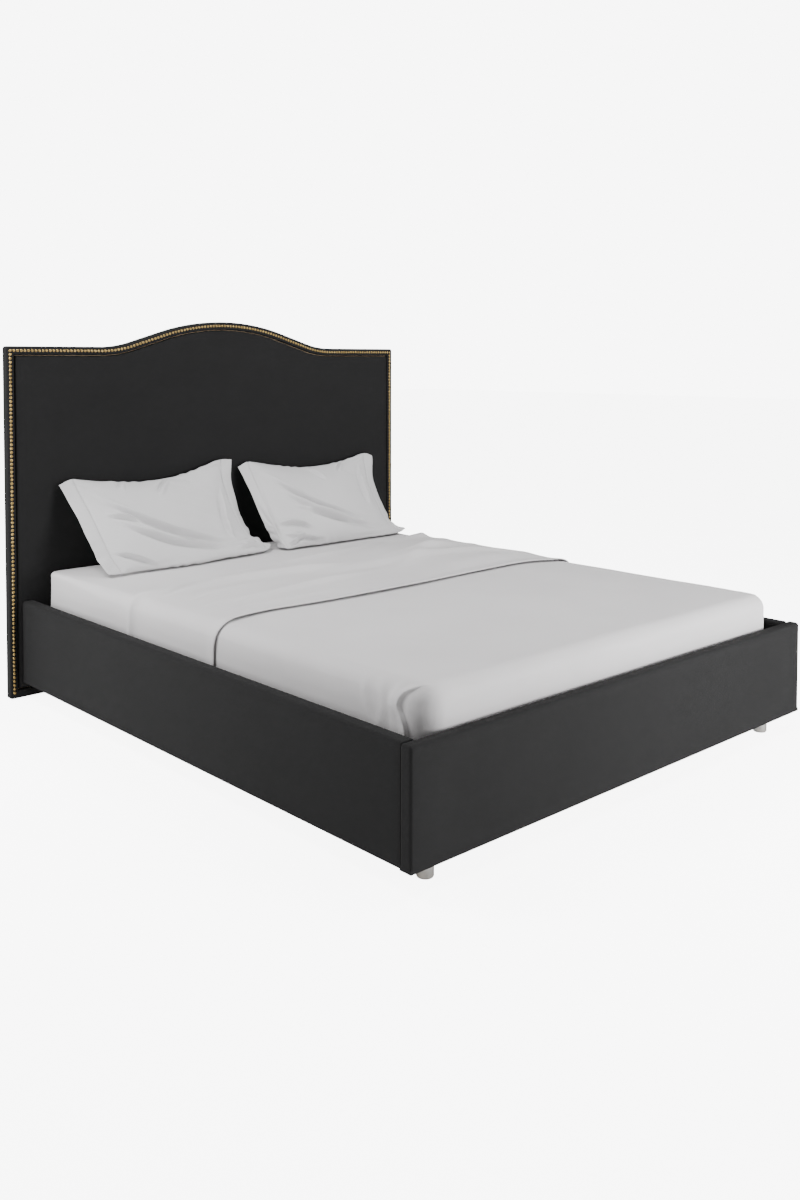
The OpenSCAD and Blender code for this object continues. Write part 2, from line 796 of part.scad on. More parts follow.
module top_sheet() {
    under = fitted_t;
    color(bedding) difference() {
        union() {
            intersection() {
                bed_prism(under + sheet_t, mattress_top - sheet_drop, mattress_top + under + sheet_t);
                block([-1000, -1100, 0], [1000, y_at(sheet_start), 1000]);
            }
            intersection() {
                bed_prism(under - 4, mattress_top, mattress_top + under + sheet_t + 3);
                block([-1000, y_at(sheet_start + turn_down), 0], [1000, y_at(sheet_start), 1000]);
            }
        }
        bed_prism(under, mattress_bottom - 1, mattress_top + under);
    }
}

// Leaning pillow: lens section between its low front edge and its high back edge
pillow_low = [300, 466];
pillow_high = [28, 800];
pillow_front_h = 75;
pillow_back_h = 58;
function lens(t) = pow(1 - pow(2 * t - 1, 2), 0.6);
function pillow_edge(t, h) = let (
    v = pillow_high - pillow_low,
    n = [-v[1], v[0]] / norm(v)
) pillow_low + t * v + n * h * lens(t);
module pillow(x_low, x_high) {
    edge = concat(
        [for (t = arc_steps(14)) pillow_edge(t, -pillow_front_h)],
        [for (i = [13:-1:1]) pillow_edge(i / 14, pillow_back_h)]);
    translate([x_low, headboard_front_y, 0]) rotate([90, 0, 90])
        linear_extrude(x_high - x_low) mirror([1, 0]) polygon(edge);
}

module pillow_left() { color(bedding) pillow(-750, 5); }
module pillow_right() { color(bedding) pillow(45, 800); }

headboard_panel();
headboard_pad();
headboard_border();
headboard_back_cloth();
headboard_nails_left();
headboard_nails_right();
headboard_nails_top();
headboard_glides();
side_rail_left_board();
side_rail_left_cover();
side_rail_right_board();
side_rail_right_cover();
footboard_board();
footboard_cover();
head_brackets();
foot_brackets();
bracket_bolts();
corner_blocks();
feet();
foot_glides();
center_beam();
center_legs();
floor_bearers();
storage_floor_left();
storage_floor_right();
platform_rests();
rest_bumpers();
lift_base_plates();
base_plate_bolts();
arm_pivot_pins();
guide_pivot_pins();
spring_pivot_pins();
lift_arms();
spring_arm_pins();
guide_arms();
gas_spring_cylinders();
gas_spring_rods();
slat_frame();
slats_left();
slats_right();
slat_side_holders();
slat_center_holders();
anti_slip_pads();
platform_plates();
plate_bolts();
platform_pivot_pins();
guide_end_pins();
lift_strap();
mattress();
fitted_sheet();
top_sheet();
pillow_left();
pillow_right();
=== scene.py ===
"""Upholstered storage bed: the looks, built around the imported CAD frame.

Lengths are in metres, except in the tables of points, which say that they are in mm. X is
across the bed, +Y is the head end, Z is up. Distances "from the head" are measured from the
headboard's face towards the foot.
"""

import json
import math
from itertools import product

import bmesh
import bpy
import numpy as np
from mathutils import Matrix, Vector


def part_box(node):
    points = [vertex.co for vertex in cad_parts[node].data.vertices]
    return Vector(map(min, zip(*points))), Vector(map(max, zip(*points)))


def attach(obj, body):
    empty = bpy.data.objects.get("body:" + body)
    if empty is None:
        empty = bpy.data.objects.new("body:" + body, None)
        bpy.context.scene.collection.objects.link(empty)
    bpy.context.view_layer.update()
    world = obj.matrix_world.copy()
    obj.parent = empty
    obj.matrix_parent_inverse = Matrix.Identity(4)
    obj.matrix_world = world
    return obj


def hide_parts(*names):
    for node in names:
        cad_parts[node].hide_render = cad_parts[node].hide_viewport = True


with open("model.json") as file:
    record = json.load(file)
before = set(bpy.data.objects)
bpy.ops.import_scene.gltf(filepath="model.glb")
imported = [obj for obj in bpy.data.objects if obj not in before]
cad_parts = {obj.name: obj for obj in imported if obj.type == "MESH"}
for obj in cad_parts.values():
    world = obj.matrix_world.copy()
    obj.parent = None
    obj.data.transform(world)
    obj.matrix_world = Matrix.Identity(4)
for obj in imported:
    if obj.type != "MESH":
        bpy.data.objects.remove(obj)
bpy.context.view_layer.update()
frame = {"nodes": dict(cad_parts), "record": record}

QUARTER = math.pi / 2


def corners(node):
    """Lowest and highest corner of a CAD node."""
    low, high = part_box(node)
    return Vector(low), Vector(high)


# ---- places, read from the frame

FACE_Y = corners("headboard_pad")[0].y
HEADBOARD_LOW, HEADBOARD_HIGH = corners("headboard_border")
MATTRESS_LOW, MATTRESS_HIGH = corners("mattress")
FITTED_LOW, FITTED_HIGH = corners("fitted_sheet")
TOP_LOW, TOP_HIGH = corners("top_sheet")


def y_at(from_head):
    return FACE_Y - from_head


# ---- small helpers


def smooth_step(t):
    t = min(max(t, 0.0), 1.0)
    return t * t * (3 - 2 * t)


def hermite(t, a, b, slope_a, slope_b):
    """Cubic from a to b with a slope at each end, for numbers and vectors."""
    return (a * (2 * t**3 - 3 * t**2 + 1) + slope_a * (t**3 - 2 * t**2 + t)
            + b * (3 * t**2 - 2 * t**3) + slope_b * (t**3 - t**2))


def curve_through(*points):
    """A smooth function through (position, value) points in mm, level beyond its ends."""
    xs, ys = zip(*((x / 1000, y / 1000) for x, y in points))
    inner = [(ys[i + 1] - ys[i - 1]) / (xs[i + 1] - xs[i - 1]) for i in range(1, len(xs) - 1)]
    slopes = [0.0, *inner, 0.0]

    def value(x):
        if x <= xs[0]:
            return ys[0]
        for i in range(len(xs) - 1):
            if x <= xs[i + 1]:
                h = xs[i + 1] - xs[i]
                return hermite((x - xs[i]) / h, ys[i], ys[i + 1], h * slopes[i],
                               h * slopes[i + 1])
        return ys[-1]

    return value


def mesh_object(name, verts, faces, material, smooth=True):
    mesh = bpy.data.meshes.new(name)
    mesh.from_pydata([tuple(v) for v in verts], [], faces)
    mesh.validate()
    obj = bpy.data.objects.new(name, mesh)
    bpy.context.scene.collection.objects.link(obj)
    if material is not None:
        mesh.materials.append(material)
    for polygon in mesh.polygons:
        polygon.use_smooth = smooth
    return obj


def grid_object(name, rows, material, closed=False, capped=False):
    """A mesh from rows of points, all of one length. A closed grid joins each row's ends."""
    width = len(rows[0])
    count = len(rows) * width
    faces = []
    for r in range(0, count - width, width):
        for c in range(width if closed else width - 1):
            d = (c + 1) % width
            faces.append((r + c, r + d, r + width + d, r + width + c))
    if capped:
        faces += [tuple(range(count - width, count)), tuple(reversed(range(width)))]
    return mesh_object(name, [p for row in rows for p in row], faces, material)


def apply_modifiers(obj):
    """Bakes an object's modifiers into its mesh."""
    depsgraph = bpy.context.evaluated_depsgraph_get()
    baked = bpy.data.meshes.new_from_object(obj.evaluated_get(depsgraph))
    obj.modifiers.clear()
    old = obj.data
    obj.data = baked
    bpy.data.meshes.remove(old)
    for polygon in obj.data.polygons:
        polygon.use_smooth = True
    return obj


def thicken(obj, thickness, offset=1.0):
    modifier = obj.modifiers.new("thickness", "SOLIDIFY")
    modifier.thickness = thickness
    modifier.offset = offset
    modifier.use_even_offset = False
    return apply_modifiers(obj)


def fix_normals(obj):
    bm = bmesh.new()
    bm.from_mesh(obj.data)
    bmesh.ops.recalc_face_normals(bm, faces=bm.faces)
    bm.to_mesh(obj.data)
    bm.free()
    return obj


def stands_for(piece, body, nodes):
    """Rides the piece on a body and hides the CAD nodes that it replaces."""
    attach(piece, body)
    if nodes:
        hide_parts(*nodes)
    return piece


# ---- materials


class Nodes:
    """Short names for building a node material."""

    def __init__(self, name):
        self.material = bpy.data.materials.new(name)
        self.material.use_nodes = True
        self.tree = self.material.node_tree
        self.tree.nodes.clear()
        self.shader = self.add("BsdfPrincipled")
        self.add("OutputMaterial", Surface=self.shader.outputs[0])
        self.place = self.add("TexCoord").outputs["Object"]

    def add(self, kind, **inputs):
        node = self.tree.nodes.new("ShaderNode" + kind)
        for name, value in inputs.items():
            self.feed(node.inputs[name.replace("_", " ")], value)
        return node

    def feed(self, socket, value):
        """Links a socket into another one, or sets that one to a number, vector or colour."""
        if isinstance(value, bpy.types.NodeSocket):
            self.tree.links.new(value, socket)
        else:
            socket.default_value = value

    def set(self, **values):
        for name, value in values.items():
            self.feed(self.shader.inputs[name.replace("_", " ")], value)

    def noise(self, scale, detail=4.0, roughness=0.55, vector=None):
        return self.add("TexNoise", Scale=scale, Detail=detail, Roughness=roughness,
                        Vector=vector or self.place).outputs["Fac"]

    def math(self, operation, *values, kind="Math"):
        node = self.add(kind)
        node.operation = operation
        for socket, value in zip(node.inputs, values):
            self.feed(socket, value)
        return node.outputs[0]

    def scaled(self, factors):
        return self.math("MULTIPLY", self.place, factors, kind="VectorMath")

    def mixed(self, a, share, b):
        return self.math("ADD", self.math("MULTIPLY", a, share),
                         self.math("MULTIPLY", b, 1 - share))

    def weave(self, pitch):
        """Height of a plain weave of crossing threads, on faces along any axis."""
        split = self.add("SeparateXYZ", Vector=self.place)
        waves = [self.math("SINE", self.math("MULTIPLY", split.outputs[i], 2 * math.pi / pitch))
                 for i in range(3)]
        pairs = [self.math("MULTIPLY", waves[i], waves[j]) for i, j in ((0, 1), (1, 2), (0, 2))]
        return self.math("ADD", self.math("ADD", pairs[0], pairs[1]), pairs[2])

    def color(self, value, *stops):
        """Base colour from a ramp of (position, colour) stops."""
        node = self.add("ValToRGB")
        self.feed(node.inputs[0], value)
        elements = node.color_ramp.elements
        while len(elements) < len(stops):
            elements.new(0.5)
        for element, (position, color) in zip(elements, stops):
            element.position = position
            element.color = (*color, 1.0)
        self.set(Base_Color=node.outputs[0])

    def roughness(self, value, amount, base):
        self.set(Roughness=self.math("ADD", self.math("MULTIPLY", value, amount), base))

    def bump(self, height, strength, distance):
        """Adds a layer of bumps on top of the ones that are there."""
        node = self.add("Bump", Strength=strength, Distance=distance, Height=height)
        normal = self.shader.inputs["Normal"]
        if normal.is_linked:
            self.feed(node.inputs["Normal"], normal.links[0].from_socket)
        self.set(Normal=node.outputs[0])


def cloth_material(name, dark, light, thread, sheen, roughness, slub=0.5):
    """Woven cloth: thread weave, uneven yarn and a faint drift of colour."""
    m = Nodes(name)
    drift = m.noise(3.5, detail=3.0)
    yarn = m.noise(420.0, detail=3.0, roughness=0.7)
    m.color(m.mixed(drift, 0.6, yarn), (0.3, dark), (0.7, light))
    m.set(Roughness=roughness, Sheen_Weight=sheen, Sheen_Roughness=0.5, Specular_IOR_Level=0.25)
    m.bump(m.noise(900.0, detail=2.0), slub * 0.5, 0.0003)
    m.bump(m.weave(thread), slub, 0.00025)
    return m.material


def wood_material(name, dark, light, stretch=(0.6, 9.0, 9.0)):
    """Sawn or veneered wood, with its grain along the axis that is stretched least."""
    m = Nodes(name)
    place = m.scaled(stretch)
    grain = m.noise(3.0, detail=8.0, roughness=0.65, vector=place)
    fibre = m.noise(28.0, roughness=0.7, vector=place)
    m.color(m.mixed(grain, 0.7, fibre), (0.34, dark), (0.52, light), (0.66, dark))
    m.roughness(fibre, 0.25, 0.42)
    m.bump(fibre, 0.25, 0.0004)
    return m.material


def powder_coat_material(name, color):
    m = Nodes(name)
    wear = m.noise(14.0, detail=6.0, roughness=0.7)
    m.color(wear, (0.35, color), (0.75, tuple(c * 1.5 + 0.006 for c in color)))
    m.roughness(wear, 0.16, 0.42)
    m.bump(m.noise(240.0, detail=3.0), 0.25, 0.0002)
    return m.material


def bright_metal_material(name, color):
    """Drawn or turned metal with fine lines across Z."""
    m = Nodes(name)
    lines = m.noise(60.0, detail=5.0, vector=m.scaled((1.0, 1.0, 30.0)))
    m.color(m.noise(9.0), (0.3, tuple(c * 0.82 for c in color)), (0.7, color))
    m.roughness(lines, 0.18, 0.22)
    m.set(Metallic=1.0)
    m.bump(lines, 0.12, 0.0001)
    return m.material


def antique_brass_material():
    """Domed nails: brass with brown patina between brighter tops."""
    m = Nodes("antique_brass")
    patina = m.noise(260.0, detail=5.0, roughness=0.65)
    m.color(patina, (0.32, (0.16, 0.095, 0.035)), (0.52, (0.46, 0.32, 0.12)),
            (0.72, (0.72, 0.55, 0.25)))
    m.roughness(patina, 0.25, 0.2)
    m.set(Metallic=1.0)
    m.bump(m.noise(700.0, detail=3.0), 0.2, 0.0002)
    return m.material


def plastic_material(name, color, roughness):
    m = Nodes(name)
    wear = m.noise(30.0)
    m.color(wear, (0.3, color), (0.8, tuple(c * 1.4 + 0.004 for c in color)))
    m.roughness(wear, 0.2, roughness - 0.1)
    m.bump(m.noise(520.0, detail=2.0), 0.2, 0.0002)
    return m.material


UPHOLSTERY = cloth_material("upholstery", (0.008, 0.008, 0.0083), (0.011, 0.011, 0.0114),
                            thread=0.0011, sheen=0.0, roughness=0.85)
DUST_CLOTH = cloth_material("dust_cloth", (0.01, 0.01, 0.01), (0.022, 0.022, 0.022),
                            thread=0.0016, sheen=0.1, roughness=0.95)
SHEET_CLOTH = cloth_material("sheet_cloth", (0.615, 0.6, 0.605), (0.675, 0.66, 0.665),
                             thread=0.0007, sheen=0.15, roughness=0.9, slub=0.3)
PILLOW_CLOTH = cloth_material("pillow_cloth", (0.56, 0.555, 0.56), (0.62, 0.615, 0.62),
                              thread=0.0007, sheen=0.15, roughness=0.9, slub=0.3)
TICKING = cloth_material("mattress_ticking", (0.66, 0.66, 0.65), (0.76, 0.76, 0.75),
                         thread=0.0014, sheen=0.2, roughness=0.9)
WEBBING = cloth_material("webbing", (0.012, 0.012, 0.012), (0.03, 0.03, 0.03),
                         thread=0.0018, sheen=0.2, roughness=0.8, slub=0.9)
PLYWOOD = wood_material("plywood", (0.38, 0.25, 0.13), (0.56, 0.41, 0.24))
BEECH_SLATS = wood_material("slat_wood", (0.45, 0.28, 0.14), (0.66, 0.47, 0.28))
FLOOR_BOARD = wood_material("floor_board", (0.45, 0.42, 0.37), (0.6, 0.57, 0.52),
                            stretch=(9.0, 0.6, 9.0))
BLACK_STEEL = powder_coat_material("black_steel", (0.018, 0.018, 0.019))
SATIN_STEEL = bright_metal_material("satin_steel", (0.62, 0.62, 0.61))
BRASS = antique_brass_material()
BLACK_PLASTIC = plastic_material("black_plastic", (0.016, 0.016, 0.016), roughness=0.55)
RUBBER = plastic_material("rubber", (0.012, 0.012, 0.012), roughness=0.85)

CAD_LOOKS = {
    "timber": PLYWOOD, "floor_board": FLOOR_BOARD, "nail_brass": BRASS,
    "black_plastic": BLACK_PLASTIC, "rubber": RUBBER, "black_steel": BLACK_STEEL,
    "bright_steel": SATIN_STEEL, "webbing": WEBBING, "upholstery": UPHOLSTERY,
    "dust_cloth": DUST_CLOTH, "mattress_fabric": TICKING, "sheet_fabric": SHEET_CLOTH,
    "pillow_fabric": PILLOW_CLOTH,
}


def dress_cad_nodes():
    """Gives every carried-over CAD node the procedural material of its slot."""
    slots = {s["node"]: s["material_slot"] for s in frame["record"]["subparts"]}
    for name, obj in frame["nodes"].items():
        look = BEECH_SLATS if name.startswith("slats_") else CAD_LOOKS[slots[name]]
        obj.data.materials.clear()
        obj.data.materials.append(look)


# ---- headboard

HUMP_HALF = 0.563
HUMP_SLOPE = math.radians(17)
HOLLOW_R = 0.45
CROWN_R = 1.0
SHOULDER_Z = HEADBOARD_HIGH.z - (HOLLOW_R + CROWN_R) * (1 - math.cos(HUMP_SLOPE)) - math.tan(
    HUMP_SLOPE) * (HUMP_HALF - (HOLLOW_R + CROWN_R) * math.sin(HUMP_SLOPE))
CORNER_R = 0.009


def arc(x, z, radius, start, stop, count):
    """Points round a centre; angles are measured from the x axis."""
    return [(x + radius * math.cos(a), z + radius * math.sin(a))
            for a in np.linspace(start, stop, count)]


def headboard_half_outline(inset):
    """Right half of the outline as (x, z), from the middle of the bottom to the crown."""
    half, low, top = HEADBOARD_HIGH.x - inset, HEADBOARD_LOW.z + inset, SHOULDER_Z - inset
    radius = max(CORNER_R - inset, 0.0006)
    flat = half - radius - HUMP_HALF
    return [
        *((half * t / 24, low) for t in range(24)),
        *arc(half - radius, low + radius, radius, -QUARTER, 0.0, 5),
        *((half, low + radius + (top - low - 2 * radius) * t / 60) for t in range(1, 60)),
        *arc(half - radius, top - radius, radius, 0.0, QUARTER, 5),
        *((half - radius - flat * t / 18, top) for t in range(1, 18)),
        *arc(HUMP_HALF, SHOULDER_Z + HOLLOW_R, HOLLOW_R + inset, -QUARTER,
             -QUARTER - HUMP_SLOPE, 12),
        *arc(0.0, HEADBOARD_HIGH.z - CROWN_R, CROWN_R - inset, QUARTER - HUMP_SLOPE, QUARTER, 22),
    ]


def headboard_ring(inset, y):
    half = headboard_half_outline(inset)
    left = [(-x, z) for x, z in reversed(half[1:-1])]
    return [(x, y, z) for x, z in half + left]


SEAM = 33  # mm from the outline


def headboard_skin(name, profile, y, material, capped=True):
    """Skin along (inset, depth behind y) steps in mm, each one a ring of the outline."""
    rings = [headboard_ring(inset / 1000, y + depth / 1000) for inset, depth in profile]
    return fix_normals(grid_object(name, rings, material, closed=True, capped=capped))


def headboard_border():
    """Padded border wrapped round the panel's edge, from the seam to the back."""
    back = (corners("headboard_panel")[1].y - FACE_Y) * 1000
    profile = [(4.5, back + 3), (1.5, back + 2.2), (0, back - 1), (0, 26), (0, 18), (0, 10),
               *arc(6, 6.6, 6, 2 * QUARTER, 3 * QUARTER, 5),
               (10, 0), (SEAM / 2, -0.4), (SEAM - 8, 0), (SEAM - 5, 1.2), (SEAM - 3, 4),
               (SEAM - 1.8, 9.5), (SEAM - 0.4, 12.5), (4.5, 12.8)]
    piece = headboard_skin("headboard_border_cover", profile, FACE_Y, UPHOLSTERY, capped=False)
    return stands_for(piece, "frame", ["headboard_border"])


def headboard_pad():
    """Inner pad: tucked into the seam, then softly crowned."""
    steps = [(0.6, 12.5), (1.4, 9.5), (2.4, 5), (4.4, 2.2), (7.5, 0.6), (12, -0.2), (22, -0.8),
             (45, -1.4), (90, -1.8), (160, -2), (260, -2)]
    profile = [(SEAM + inset, depth) for inset, depth in steps]
    piece = headboard_skin("headboard_pad_cover", profile, FACE_Y, UPHOLSTERY)
    return stands_for(piece, "frame", ["headboard_pad"])


def headboard_back():
    """Thin back cloth, stapled round its turned edge."""
    profile = [(4.2, 0.2), (4.8, 2.2), (7.5, 3.2), (16, 3), (21, 2.4), (30, 3), (60, 3.8),
               (120, 4.2), (240, 4.4)]
    start = corners("headboard_back_cloth")[0].y
    piece = headboard_skin("headboard_back_cover", profile, start, DUST_CLOTH)
    return stands_for(piece, "frame", ["headboard_back_cloth"])


def outline_walk(inset, pitch):
    """Evenly spaced (x, z, angle) places along the headboard's outline."""
    ring = [(x, z) for x, _, z in headboard_ring(inset, 0.0)]
    ring.append(ring[0])
    places = []
    carry = pitch / 2
    for (x0, z0), (x1, z1) in zip(ring, ring[1:]):
        length = math.hypot(x1 - x0, z1 - z0)
        while carry < length:
            t = carry / length
            places.append((x0 + (x1 - x0) * t, z0 + (z1 - z0) * t, math.atan2(z1 - z0, x1 - x0)))
            carry += pitch
        carry -= length
    return places


def headboard_staples():
    """Wire staples that hold the back cloth."""
    y = corners("headboard_back_cloth")[0].y + 0.0031
    inset, pitch = 0.016, 0.055
    half_length, half_wire = 0.0055, 0.0006
    verts, faces = [], []
    for x, z, angle in outline_walk(inset, pitch):
        way = Vector((math.cos(angle), 0, math.sin(angle)))
        across = Vector((-way.z, 0, way.x))
        a = len(verts)
        for end in (-1, 1):
            for side, lift in ((-1, 0), (-1, 1), (1, 1), (1, 0)):
                p = Vector((x, y + lift * half_wire * 1.6, z))
                verts.append(p + way * half_length * end * (1 - 0.1 * lift)
                             + across * half_wire * side * (1 - 0.35 * lift))
        b = a + 4
        faces += [(a + i, a + i + 1, b + i + 1, b + i) for i in range(3)]
        faces += [(a, a + 3, a + 2, a + 1), (b, b + 1, b + 2, b + 3), (a, b, b + 3, a + 3)]
    piece = mesh_object("headboard_staples", verts, faces, SATIN_STEEL, smooth=False)
    return stands_for(fix_normals(piece), "frame", [])


# ---- side rails and footboard


def cover_block(name, low, high, radii, steps):
    """Box with rounded edges, except the lower ones, where the cover is turned in over the
    board's arris. Radii and numbers of cells between them are given for x, y and z."""
    def stations(n):
        ease = [radii[n] * (1 - math.cos(t)) for t in np.linspace(0, QUARTER, 6)[:-1]]
        inner = np.linspace(low[n] + radii[n], high[n] - radii[n], steps[n] + 1)
        return [low[n] + e for e in ease] + list(inner) + [high[n] - e for e in reversed(ease)]

    axes = [stations(n) for n in range(3)]
    index, verts, faces = {}, [], []

    def vert(key):
        if key not in index:
            p = [axes[n][key[n]] for n in range(3)]
            core = [min(max(p[n], low[n] + radii[n]), high[n] - radii[n]) for n in range(3)]
            away = Vector([(p[n] - core[n]) / radii[n] for n in range(3)])
            if away.length > 0 and away.z >= 0:
                away = away.normalized() * max(abs(c) for c in away)
            index[key] = len(verts)
            verts.append([core[n] + away[n] * radii[n] for n in range(3)])
        return index[key]

    for fixed in range(3):
        u, v = [n for n in range(3) if n != fixed]
        cells = product((0, len(axes[fixed]) - 1), range(len(axes[u]) - 1),
                        range(len(axes[v]) - 1))
        for side, a, b in cells:
            face = []
            for da, db in ((0, 0), (1, 0), (1, 1), (0, 1)):
                key = [0, 0, 0]
                key[fixed], key[u], key[v] = side, a + da, b + db
                face.append(vert(tuple(key)))
            faces.append(face)
    return fix_normals(mesh_object(name, verts, faces, UPHOLSTERY))


def cut_box(obj, low, high):
    """Cuts a plain box out of an object."""
    cutter = fix_normals(mesh_object("cutter", *box_faces(low, high), None, smooth=False))
    modifier = obj.modifiers.new("cut", "BOOLEAN")
    modifier.object = cutter
    modifier.solver = "EXACT"
    apply_modifiers(obj)
    bpy.data.objects.remove(cutter)
    return obj


def padded_board(name, node, board, radii, steps, bulge):
    """Upholstered cover with soft edges, hollow where its board sits, open underneath."""
    low, high = corners(node)
    block = cover_block(name, low, high, radii, steps)
    middle, half = (low + high) / 2, (high - low) / 2
    for v in block.data.vertices:
        t = [(v.co[n] - middle[n]) / half[n] for n in range(3)]
        for n, amount in enumerate(bulge):
            others = [t[m] for m in range(3) if m != n]
            crown = (1 - others[0] ** 8) * (1 - others[1] ** 6)
            v.co[n] -= math.copysign(amount * (1 - crown), t[n]) * abs(t[n]) ** 4
    gap = Vector((0.0003, 0.0003, 0.0003))
    cavity_low, cavity_high = corners(board)
    cavity_low = cavity_low - gap
    cavity_low.z = low.z - 0.01
    return cut_box(block, cavity_low, cavity_high + gap)


def side_rail(side):
    name = f"side_rail_{side}"
    cover = padded_board(f"{name}_upholstery", f"{name}_cover", f"{name}_board",
                         (0.012, 0.005, 0.012), (4, 60, 14), (0.0008, 0.0, 0.0))
    return stands_for(cover, "frame", [f"{name}_cover"])


def footboard():
    cover = padded_board("footboard_upholstery", "footboard_cover", "footboard_board",
                         (0.007, 0.01, 0.012), (60, 4, 14), (0.0, 0.0008, 0.0))
    return stands_for(cover, "frame", ["footboard_cover"])


# ---- mattress and sheets

SIDE_EDGE_R = 0.042
HEAD_EDGE_R = 0.014
CORNER_EASE = 0.026
# The edge is square this far from the headboard, and changes to its full radius over this length
SQUARE_REACH = 0.06
EDGE_CHANGE = 0.42


class BedSurface:
    """The top and sides of the mattress, addressed by cloth coordinates.

    x and y are distances over the cloth from the middle of the top; past the flat top they run
    down the sides. lift moves a point off the surface. The mattress is square at the head and
    rounder along its sides and at the foot; inset is how deep this layer lies in the bedding.
    """

    def __init__(self, half_x, y_foot, y_head, top, inset=0.0):
        self.half_x, self.top = half_x, top
        self.foot_r, self.head_r = SIDE_EDGE_R - inset, HEAD_EDGE_R - inset
        self.flat_foot, self.flat_head = y_foot + self.foot_r, y_head - self.head_r
        self.flat_x = half_x - self.foot_r

    def radius(self, y):
        """Radius of the long top edge at one distance along the bed."""
        y = min(max(y, self.flat_foot), self.flat_head)
        grown = smooth_step((FACE_Y - y - SQUARE_REACH) / EDGE_CHANGE)
        return self.head_r + (self.foot_r - self.head_r) * grown

    def over_edge(self, distance, radius):
        """(outwards, down, angle) of a point that far over a rounded top edge."""
        if distance <= 0:
            return 0.0, 0.0, 0.0
        if distance < radius * QUARTER:
            a = distance / radius
            return radius * math.sin(a), radius * (1 - math.cos(a)), a
        return radius, radius + distance - radius * QUARTER, QUARTER

    def point(self, x, y, lift):
        """The point at cloth place x, y; y grows towards the head."""
        head = y > (self.flat_foot + self.flat_head) / 2
        end_sign, flat_y = (1, self.flat_head) if head else (-1, self.flat_foot)
        radius = self.radius(y)
        flat_x = self.half_x - radius
        sign = math.copysign(1.0, x)
        side = abs(x) - flat_x
        end = end_sign * (y - flat_y)
        if side + CORNER_EASE > 0 and end + CORNER_EASE > 0:
            return self.corner_point(side + CORNER_EASE, end + CORNER_EASE, lift,
                                     (sign, end_sign), radius)
        out, down, tilt = self.over_edge(max(side, end), radius)
        out += lift * math.sin(tilt)
        z = self.top - down + lift * math.cos(tilt)
        if side > 0:
            return Vector((sign * (flat_x + out), y, z))
        return Vector((x, (flat_y if end > 0 else y) + end_sign * out, z))

    def corner_point(self, dx, dy, lift, signs, radius):
        """Round the plan corner: rings stay level, so the cloth is eased there."""
        flat_y = self.flat_head if signs[1] > 0 else self.flat_foot
        reach = max(dx, dy)
        turn = dy / reach / 2 if dx >= dy else 1 - dx / reach / 2
        a = turn * QUARTER
        out, down, tilt = self.over_edge(reach - CORNER_EASE, radius)
        away = min(reach, CORNER_EASE) + out + lift * math.sin(tilt)
        return Vector((signs[0] * (self.half_x - radius - CORNER_EASE + away * math.cos(a)),
                       flat_y + signs[1] * (away * math.sin(a) - CORNER_EASE),
                       self.top - down + lift * math.cos(tilt)))

    def cloth_y(self, x, from_head):
        """The cloth coordinate y at which the surface lies that far from the headboard."""
        low, high = self.flat_foot - 0.4, 0.0
        for _ in range(30):
            middle = (low + high) / 2
            if self.point(x, middle, 0.0).y < y_at(from_head):
                low = middle
            else:
                high = middle
        return (low + high) / 2

    def places(self, depth, step):
        """Rows of cloth places that cover the top and hang down to one depth."""
        def run(radius):
            quarter = radius * QUARTER
            return [quarter * i / 8 for i in range(9)] + [
                quarter + (depth - radius) * i / 11 for i in range(1, 12)]

        ys = [self.flat_foot - v for v in reversed(run(self.foot_r))]
        ys += spaced(self.flat_foot, self.flat_head, step)[1:-1]
        ys += [self.flat_head + v for v in run(self.head_r)]
        rows = []
        for y in ys:
            radius = self.radius(y)
            flat_x = self.half_x - radius
            half = [flat_x * i / 32 for i in range(1, 32)] + [flat_x + v for v in run(radius)]
            rows.append([(x, y) for x in [-v for v in reversed(half)] + [0.0] + half])
        return rows


def spaced(start, stop, step):
    count = max(1, round(abs(stop - start) / step))
    return [start + (stop - start) * i / count for i in range(count + 1)]


def bell(distance, width):
    """Soft-topped profile of a wrinkle, for numbers and arrays."""
    return np.exp(-1.4 * (distance / width) ** 2)


def window(t, start, stop, fade):
    return smooth_step((t - start) / fade) * smooth_step((stop - t) / fade)


# Faint creases across the fitted sheet: slope, distance from the headboard, height
FITTED_CREASES = ((0.105, 0.3, 0.0016), (-0.075, 0.46, 0.0012), (0.036, 0.58, 0.0012))
SHEET_THICKNESS = 0.001


def fitted_lift(x, y):
    """Height of the creases near the head and of the pulled cloth on the sides."""
    from_head = FACE_Y - y
    lift = 0.0012 * math.sin(31 * x + 5 * y) * smooth_step((abs(x) - 0.78) / 0.1)
    if from_head < 0.75:
        for slope, offset, size in FITTED_CREASES:
            lift += size * bell(from_head - offset - slope * x, 0.035) * window(
                x, -0.75, 0.8, 0.4)
    return lift


def draw_in_hem(piece):
    """Carries the cloth's border in underneath the mattress, as its elastic does."""
    bm = bmesh.new()
    bm.from_mesh(piece.data)
    hem = [e for e in bm.edges if e.is_boundary]
    middle_y = (MATTRESS_LOW.y + MATTRESS_HIGH.y) / 2
    for inward in (0.035, 0.085):
        made = bmesh.ops.extrude_edge_only(bm, edges=hem)["geom"]
        hem = [g for g in made if isinstance(g, bmesh.types.BMEdge)]
        limit_x = MATTRESS_HIGH.x - inward
        limit_y = MATTRESS_HIGH.y - middle_y - inward
        for v in {v for e in hem for v in e.verts}:
            v.co.x = min(max(v.co.x, -limit_x), limit_x)
            v.co.y = min(max(v.co.y - middle_y, -limit_y), limit_y) + middle_y
            v.co.z = MATTRESS_LOW.z - 0.0012
    bmesh.ops.dissolve_degenerate(bm, dist=1e-6, edges=bm.edges)
    bm.to_mesh(piece.data)
    bm.free()


